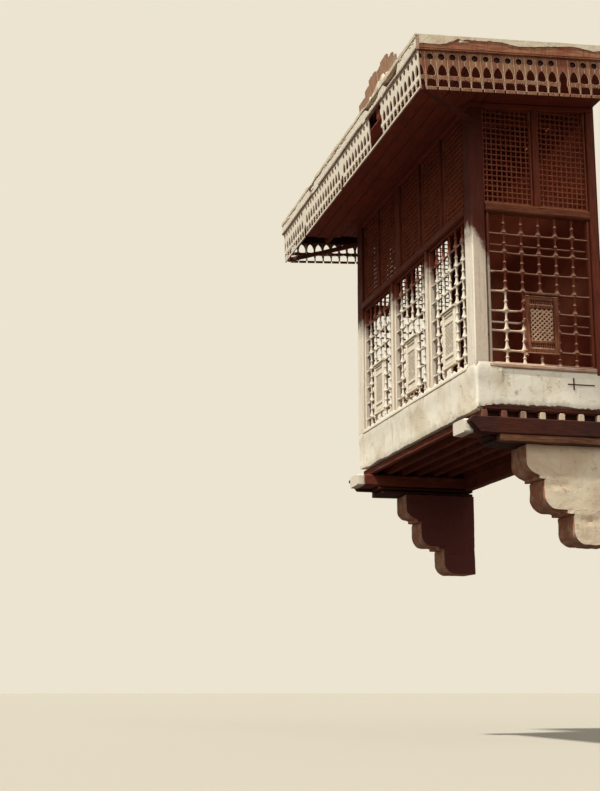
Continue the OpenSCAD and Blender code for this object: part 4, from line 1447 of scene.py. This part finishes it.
class ORIEL_OT_plaster(bpy.types.Operator):
    """Builds the plastered parapets, whose plaster laps up round the spindles' feet on the front."""

    bl_idname = "oriel.build_plaster"
    bl_label = "Plaster"

    def execute(self, context):
        low, top = parapet_low.z, parapet_high.z
        thick = end_parapet_high.x - end_parapet_low.x
        feet = {"end": end_parapet_low.z + 0.028, "corner": low + 0.022, "front": low + 0.004}
        rows, bulge = 14, 0.012
        mesh = bmesh.new()
        grid = []
        t = 0.0
        path = outer_line()
        for k, (x, y, nx, ny, part) in enumerate(path):
            end = part == "end"
            t += math.hypot(x - path[k - 1][0], y - path[k - 1][1]) if k else 0.0
            foot = feet[part] + 0.016 * wave(t * 3, 0, 4) + 0.009 * wave(t * 17, 0, 4)
            high = top + bulge + 0.008 * wave(y * 7, nx, 9) if end else lap_top(x)
            if end:
                foot += 0.018 * wave(t * 11, 7, 4) + 0.014 * wave(t * 31, 7, 4)
                foot -= 0.02 * min(1.0, max(0.0, -1.2 - y) / 0.1)
                high += 0.04 * min(1.0, max(0.0, -1.12 - y) / 0.08)
            column = []
            for j in range(rows + 1):
                z = foot + (high - foot) * j / rows
                coarse, small = 0.5 + 0.5 * wave(t * 1.7, z * 2.5, 1), 0.5 + 0.5 * wave(t * 8, z * 9, 6)
                sink = 0.003 + coarse * 0.009 + small * 0.005
                if not end or y < -1.1:
                    swell = min(1.0, max(0.0, (z - top + 0.2) / 0.2))
                    sink -= 0.014 * swell * swell * (3 - 2 * swell)
                if j in (0, rows):
                    sink += 0.007
                px = min(max(x - nx * sink, -HALF - bulge), HALF + bulge)
                column.append((px, max(y - ny * sink, sill_low.y), max(z, low - bulge)))
            ix = min(max(x, thick - HALF), HALF - thick)
            iy = max(y, parapet_low.y + thick)
            column += [(ix, iy, top), (ix, iy, end_parapet_low.z + 0.02 if end else low)]
            grid.append([mesh.verts.new(c) for c in column])
        for a, b in zip(grid, grid[1:]):
            for j in range(len(a)):
                k = (j + 1) % len(a)
                mesh.faces.new((a[j], b[j], b[k], a[k]))
        mesh.faces.new(grid[0])
        mesh.faces.new(grid[-1][::-1])
        bmesh.ops.remove_doubles(mesh, verts=mesh.verts[:], dist=1e-5)
        bmesh.ops.recalc_face_normals(mesh, faces=mesh.faces[:])
        mesh.verts.index_update()
        pile = Pile()
        pile.add([v.co[:] for v in mesh.verts], [tuple(v.index for v in f.verts) for f in mesh.faces])
        mesh.free()
        pile.build("worn_plaster", "plaster", "auto",
                   "front_parapet left_parapet right_parapet")
        return {"FINISHED"}


class ORIEL_OT_iron(bpy.types.Operator):
    """Builds the iron tie on the right-hand end, a nail below the front corner and a knob on the post."""

    bl_idname = "oriel.build_iron"
    bl_label = "Iron bits"

    def execute(self, context):
        x = HALF - 0.002
        pile = Pile()
        pile.bar((x - 0.012, -0.41, 0.459), (x, -0.12, 0.471), 0.001, 0.002, 0.05, 2)
        pile.bar((x - 0.012, -0.352, 0.41), (x + 0.002, -0.338, 0.53), 0.001, 0.002, 0.03, 3)
        nail = ((0.004, -0.012), (0.009, -0.004), (0.009, 0.0), (0.003, 0.003))
        knob = ((0.006, -0.012), (0.011, -0.002), (0.011, 0.006), (0.004, 0.012))
        for marks, place in ((nail, (HALF - 0.001, -1.31, 0.53)), (knob, (HALF - 0.018, -1.233, 0.916))):
            points, faces = turned(marks, 8)
            pile.add(lying(points) + np.array(place), faces)
        pile.build("iron_bits", "iron", "auto")
        return {"FINISHED"}


class ORIEL_OT_stones(bpy.types.Operator):
    """Builds the two stone brackets, weathered and chipped."""

    bl_idname = "oriel.build_stones"
    bl_label = "Stone brackets"

    def execute(self, context):
        tall, step, nose = 0.295, 0.038, 0.135
        reaches = (0.880, 0.695, 0.400)
        tops = [bracket_high.z - tier * (tall + step) for tier in range(3)]
        # The profile from the top down: how far out, and how high
        rows = []
        for tier, (reach, high) in enumerate(zip(reaches, tops)):
            low = high - tall
            rows.append((reach - 0.012, high))
            rows += [(reach, z) for z in np.linspace(high - 0.012, low + nose, 6)]
            rows += [(reach - nose + nose * math.cos(a), low + nose - nose * math.sin(a))
                     for a in np.linspace(0, math.pi / 2, 9)[1:]]
            if tier < 2:
                under = reaches[tier + 1]
                back = min(under + nose / 2, reach - nose)
                rows += [(back + 0.02, low), (back, low - 0.006), (back, low - step + 0.004),
                         (under, low - step + 0.001)]
        width = bracket_high.x - bracket_low.x
        across, deep = 10, 14
        for side, name in ((-1, "left_bracket"), (1, "right_bracket")):
            points = []
            for reach, z in rows:
                loop = [(0.0, -reach * j / deep) for j in range(deep + 1)]
                loop += [(width * k / across, -reach) for k in range(1, across)]
                loop += [(width, -reach * (1 - j / deep)) for j in range(deep + 1)]
                points += [(bracket_low.x + x, y, z) for x, y in loop]
            faces = lining(len(rows), len(loop))
            points = np.array(points)
            points = points + wander(points, 0.22, 0.012, 2 + side) + wander(points, 0.06, 0.006, 5 + side)
            # A worn hollow high on each tier's sides
            for reach, high in zip(reaches, tops):
                hollow = np.exp(-((points[:, 2] - (high - 0.06)) / 0.028) ** 2)
                hollow *= np.exp(-((points[:, 1] + reach - 0.16) / 0.09) ** 2)
                points[:, 0] -= np.sign(points[:, 0] - bracket_low.x - width / 2) * hollow * 0.022
            points = np.clip(points, bracket_low, (bracket_high.x, 0, bracket_high.z))
            if side < 0:
                points[:, 0] *= -1
            else:
                faces = flipped(faces)
            pile = Pile()
            pile.add(points, faces)
            pile.build(name + "_stones", "stone", "auto", name)
        return {"FINISHED"}


# Stage

def sheet(name, corners):
    """A flat sheet of the stage, in the finish of its own name."""
    mesh = bpy.data.meshes.new(name)
    mesh.from_pydata(corners, [], [(0, 1, 2, 3)])
    mesh.materials.append(FINISH[name])
    flat = bpy.data.objects.new(name, mesh)
    bpy.context.scene.collection.objects.link(flat)


def direction(turn, rise):
    """The unit vector towards a place, by degrees to the right of the front's middle and above the level."""
    turn, rise = math.radians(turn), math.radians(rise)
    return Vector((math.sin(turn) * math.cos(rise), -math.cos(turn) * math.cos(rise), math.sin(rise)))


def sun(name, strength, spread, tint, turn, rise):
    """A soft lamp that shines from a direction."""
    lamp = bpy.data.lights.new(name, "SUN")
    lamp.energy = strength
    lamp.angle = math.radians(spread)
    lamp.color = tint
    holder = bpy.data.objects.new(name, lamp)
    bpy.context.scene.collection.objects.link(holder)
    holder.rotation_euler = direction(turn, rise).to_track_quat("Z", "Y").to_euler()


def studio_world(paper, fill):
    """Even light from all round, stronger from above, with plain paper where a camera or a gloss sees it."""
    world = bpy.data.worlds.new("studio")
    world.use_nodes = True
    n = Nodes(world.node_tree)
    plain = n.tree.nodes["Background"]
    plain.inputs["Color"].default_value = (1.0, 0.985, 0.96, 1)
    up = n.new("SeparateXYZ", {0: n.new("TexCoord").outputs["Generated"]}).outputs[2]
    n.put(n.ramp(up, -0.35, 0.6, 0.36 * fill, 1.6 * fill), plain.inputs["Strength"])
    seen = n.new("Background", {"Color": paper})
    path = n.new("LightPath").outputs
    which = n.most(n.most(path["Is Camera Ray"], path["Is Glossy Ray"]), path["Is Transmission Ray"])
    mix = n.new("MixShader", {0: which, 1: plain.outputs[0], 2: seen.outputs[0]})
    n.put(mix.outputs[0], n.tree.nodes["World Output"].inputs["Surface"])
    return world


class ORIEL_OT_stage(bpy.types.Operator):
    """Sets the camera, the lights, the floor and the backdrop."""

    bl_idname = "oriel.set_stage"
    bl_label = "Stage"

    def execute(self, context):
        s = sizes()
        scene = context.scene
        scene.view_settings.view_transform = "Standard"
        paper = tuple(scene.oriel_colours.paper)
        scene.world = studio_world(paper, s.fill_strength)

        n, shader = surface("studio_floor", "studio floor")
        camera_ray = n.new("LightPath").outputs["Is Camera Ray"]
        n.put(n.mix(camera_ray, (0.088, 0.072, 0.064, 1), scaled(paper, 0.6)), shader.inputs["Base Color"])
        shader.inputs["Roughness"].default_value = 0.95
        z, r = -3.065, 60
        sheet("studio_floor", [(-r, -r, z), (r, -r, z), (r, r, z), (-r, r, z)])

        # A dark backdrop behind the wall face stands for the unlit room, and can't be seen from inside it
        n, shader = surface("opening_backdrop", "unlit room")
        spots = n.new("TexNoise", {"Scale": 3.0, "Detail": 5.0}).outputs["Fac"]
        unlit = n.mix(n.ramp(spots, 0.35, 0.65), srgb(128, 62, 46), srgb(190, 118, 90))
        above = n.ramp(n.place()[1][2], transom_high.z + 0.1, transom_high.z + 0.5)
        n.put(n.mix(above, unlit, srgb(216, 122, 92)), shader.inputs["Base Color"])
        shader.inputs["Roughness"].default_value = 1.0
        shader.inputs["Specular IOR Level"].default_value = 0.0
        camera_ray = n.new("LightPath").outputs["Is Camera Ray"]
        behind = n.times(n.new("NewGeometry").outputs["Backfacing"], camera_ray)
        clear = n.new("BsdfTransparent").outputs[0]
        mix = n.new("MixShader", {0: behind, 1: shader.outputs[0], 2: clear})
        n.put(mix.outputs[0], n.tree.nodes["Material Output"].inputs["Surface"])
        x, y = HALF - 0.02, 0.012
        low, high = end_parapet_low.z, ROOF + CANOPY_RISE + 0.025
        sheet("opening_backdrop", [(-x, y, low), (x, y, low), (x, y, high), (-x, y, high)])

        sun("key", s.key_strength, 3.5, (1.0, 0.975, 0.92), 22, 54.3)
        sun("side", s.side_strength, 60, (1.0, 0.98, 0.95), 78, 28)

        # The camera as fitted to the photograph, its focal length given in pixels of a picture 791 high
        focal, picture, roll = 1319.1, 791, math.radians(0.095)
        data = bpy.data.cameras.new("view")
        camera = bpy.data.objects.new("view", data)
        scene.collection.objects.link(camera)
        scene.camera = camera
        data.sensor_width = 36.0
        data.lens = focal * data.sensor_width / picture
        data.clip_end = 300
        camera.location = (13.666, -6.048, -2.405)
        camera.rotation_mode = "QUATERNION"
        aim = (-direction(75.98, -12.23)).to_track_quat("-Z", "Y")
        camera.rotation_quaternion = aim @ Matrix.Rotation(roll, 4, "Z").to_quaternion()
        return {"FINISHED"}


class ORIEL_PT_panel(bpy.types.Panel):
    """Lists the steps and their sizes in the sidebar."""

    bl_label = "Oriel window"
    bl_idname = "ORIEL_PT_panel"
    bl_space_type = "VIEW_3D"
    bl_region_type = "UI"
    bl_category = "Oriel"

    def draw(self, context):
        for step in STEPS:
            self.layout.operator(step.bl_idname)
        for group in (context.scene.oriel_sizes, context.scene.oriel_colours):
            box = self.layout.box()
            for name in group.__annotations__:
                box.prop(group, name)


STEPS = (ORIEL_OT_solids, ORIEL_OT_lattice, ORIEL_OT_hatches, ORIEL_OT_upper_lattice, ORIEL_OT_frame,
         ORIEL_OT_fretwork, ORIEL_OT_canopy, ORIEL_OT_soffit, ORIEL_OT_floor, ORIEL_OT_plaster, ORIEL_OT_iron,
         ORIEL_OT_stones, ORIEL_OT_stage)
CLASSES = (OrielColours, OrielSizes) + STEPS + (ORIEL_PT_panel,)


def register():
    for c in CLASSES:
        bpy.utils.register_class(c)
    bpy.types.Scene.oriel_colours = bpy.props.PointerProperty(type=OrielColours)
    bpy.types.Scene.oriel_sizes = bpy.props.PointerProperty(type=OrielSizes)


def unregister():
    del bpy.types.Scene.oriel_sizes
    del bpy.types.Scene.oriel_colours
    for c in reversed(CLASSES):
        bpy.utils.unregister_class(c)


def main():
    register()
    for step in STEPS:
        group, name = step.bl_idname.split(".")
        getattr(getattr(bpy.ops, group), name)()


if __name__ == "__main__":
    main()
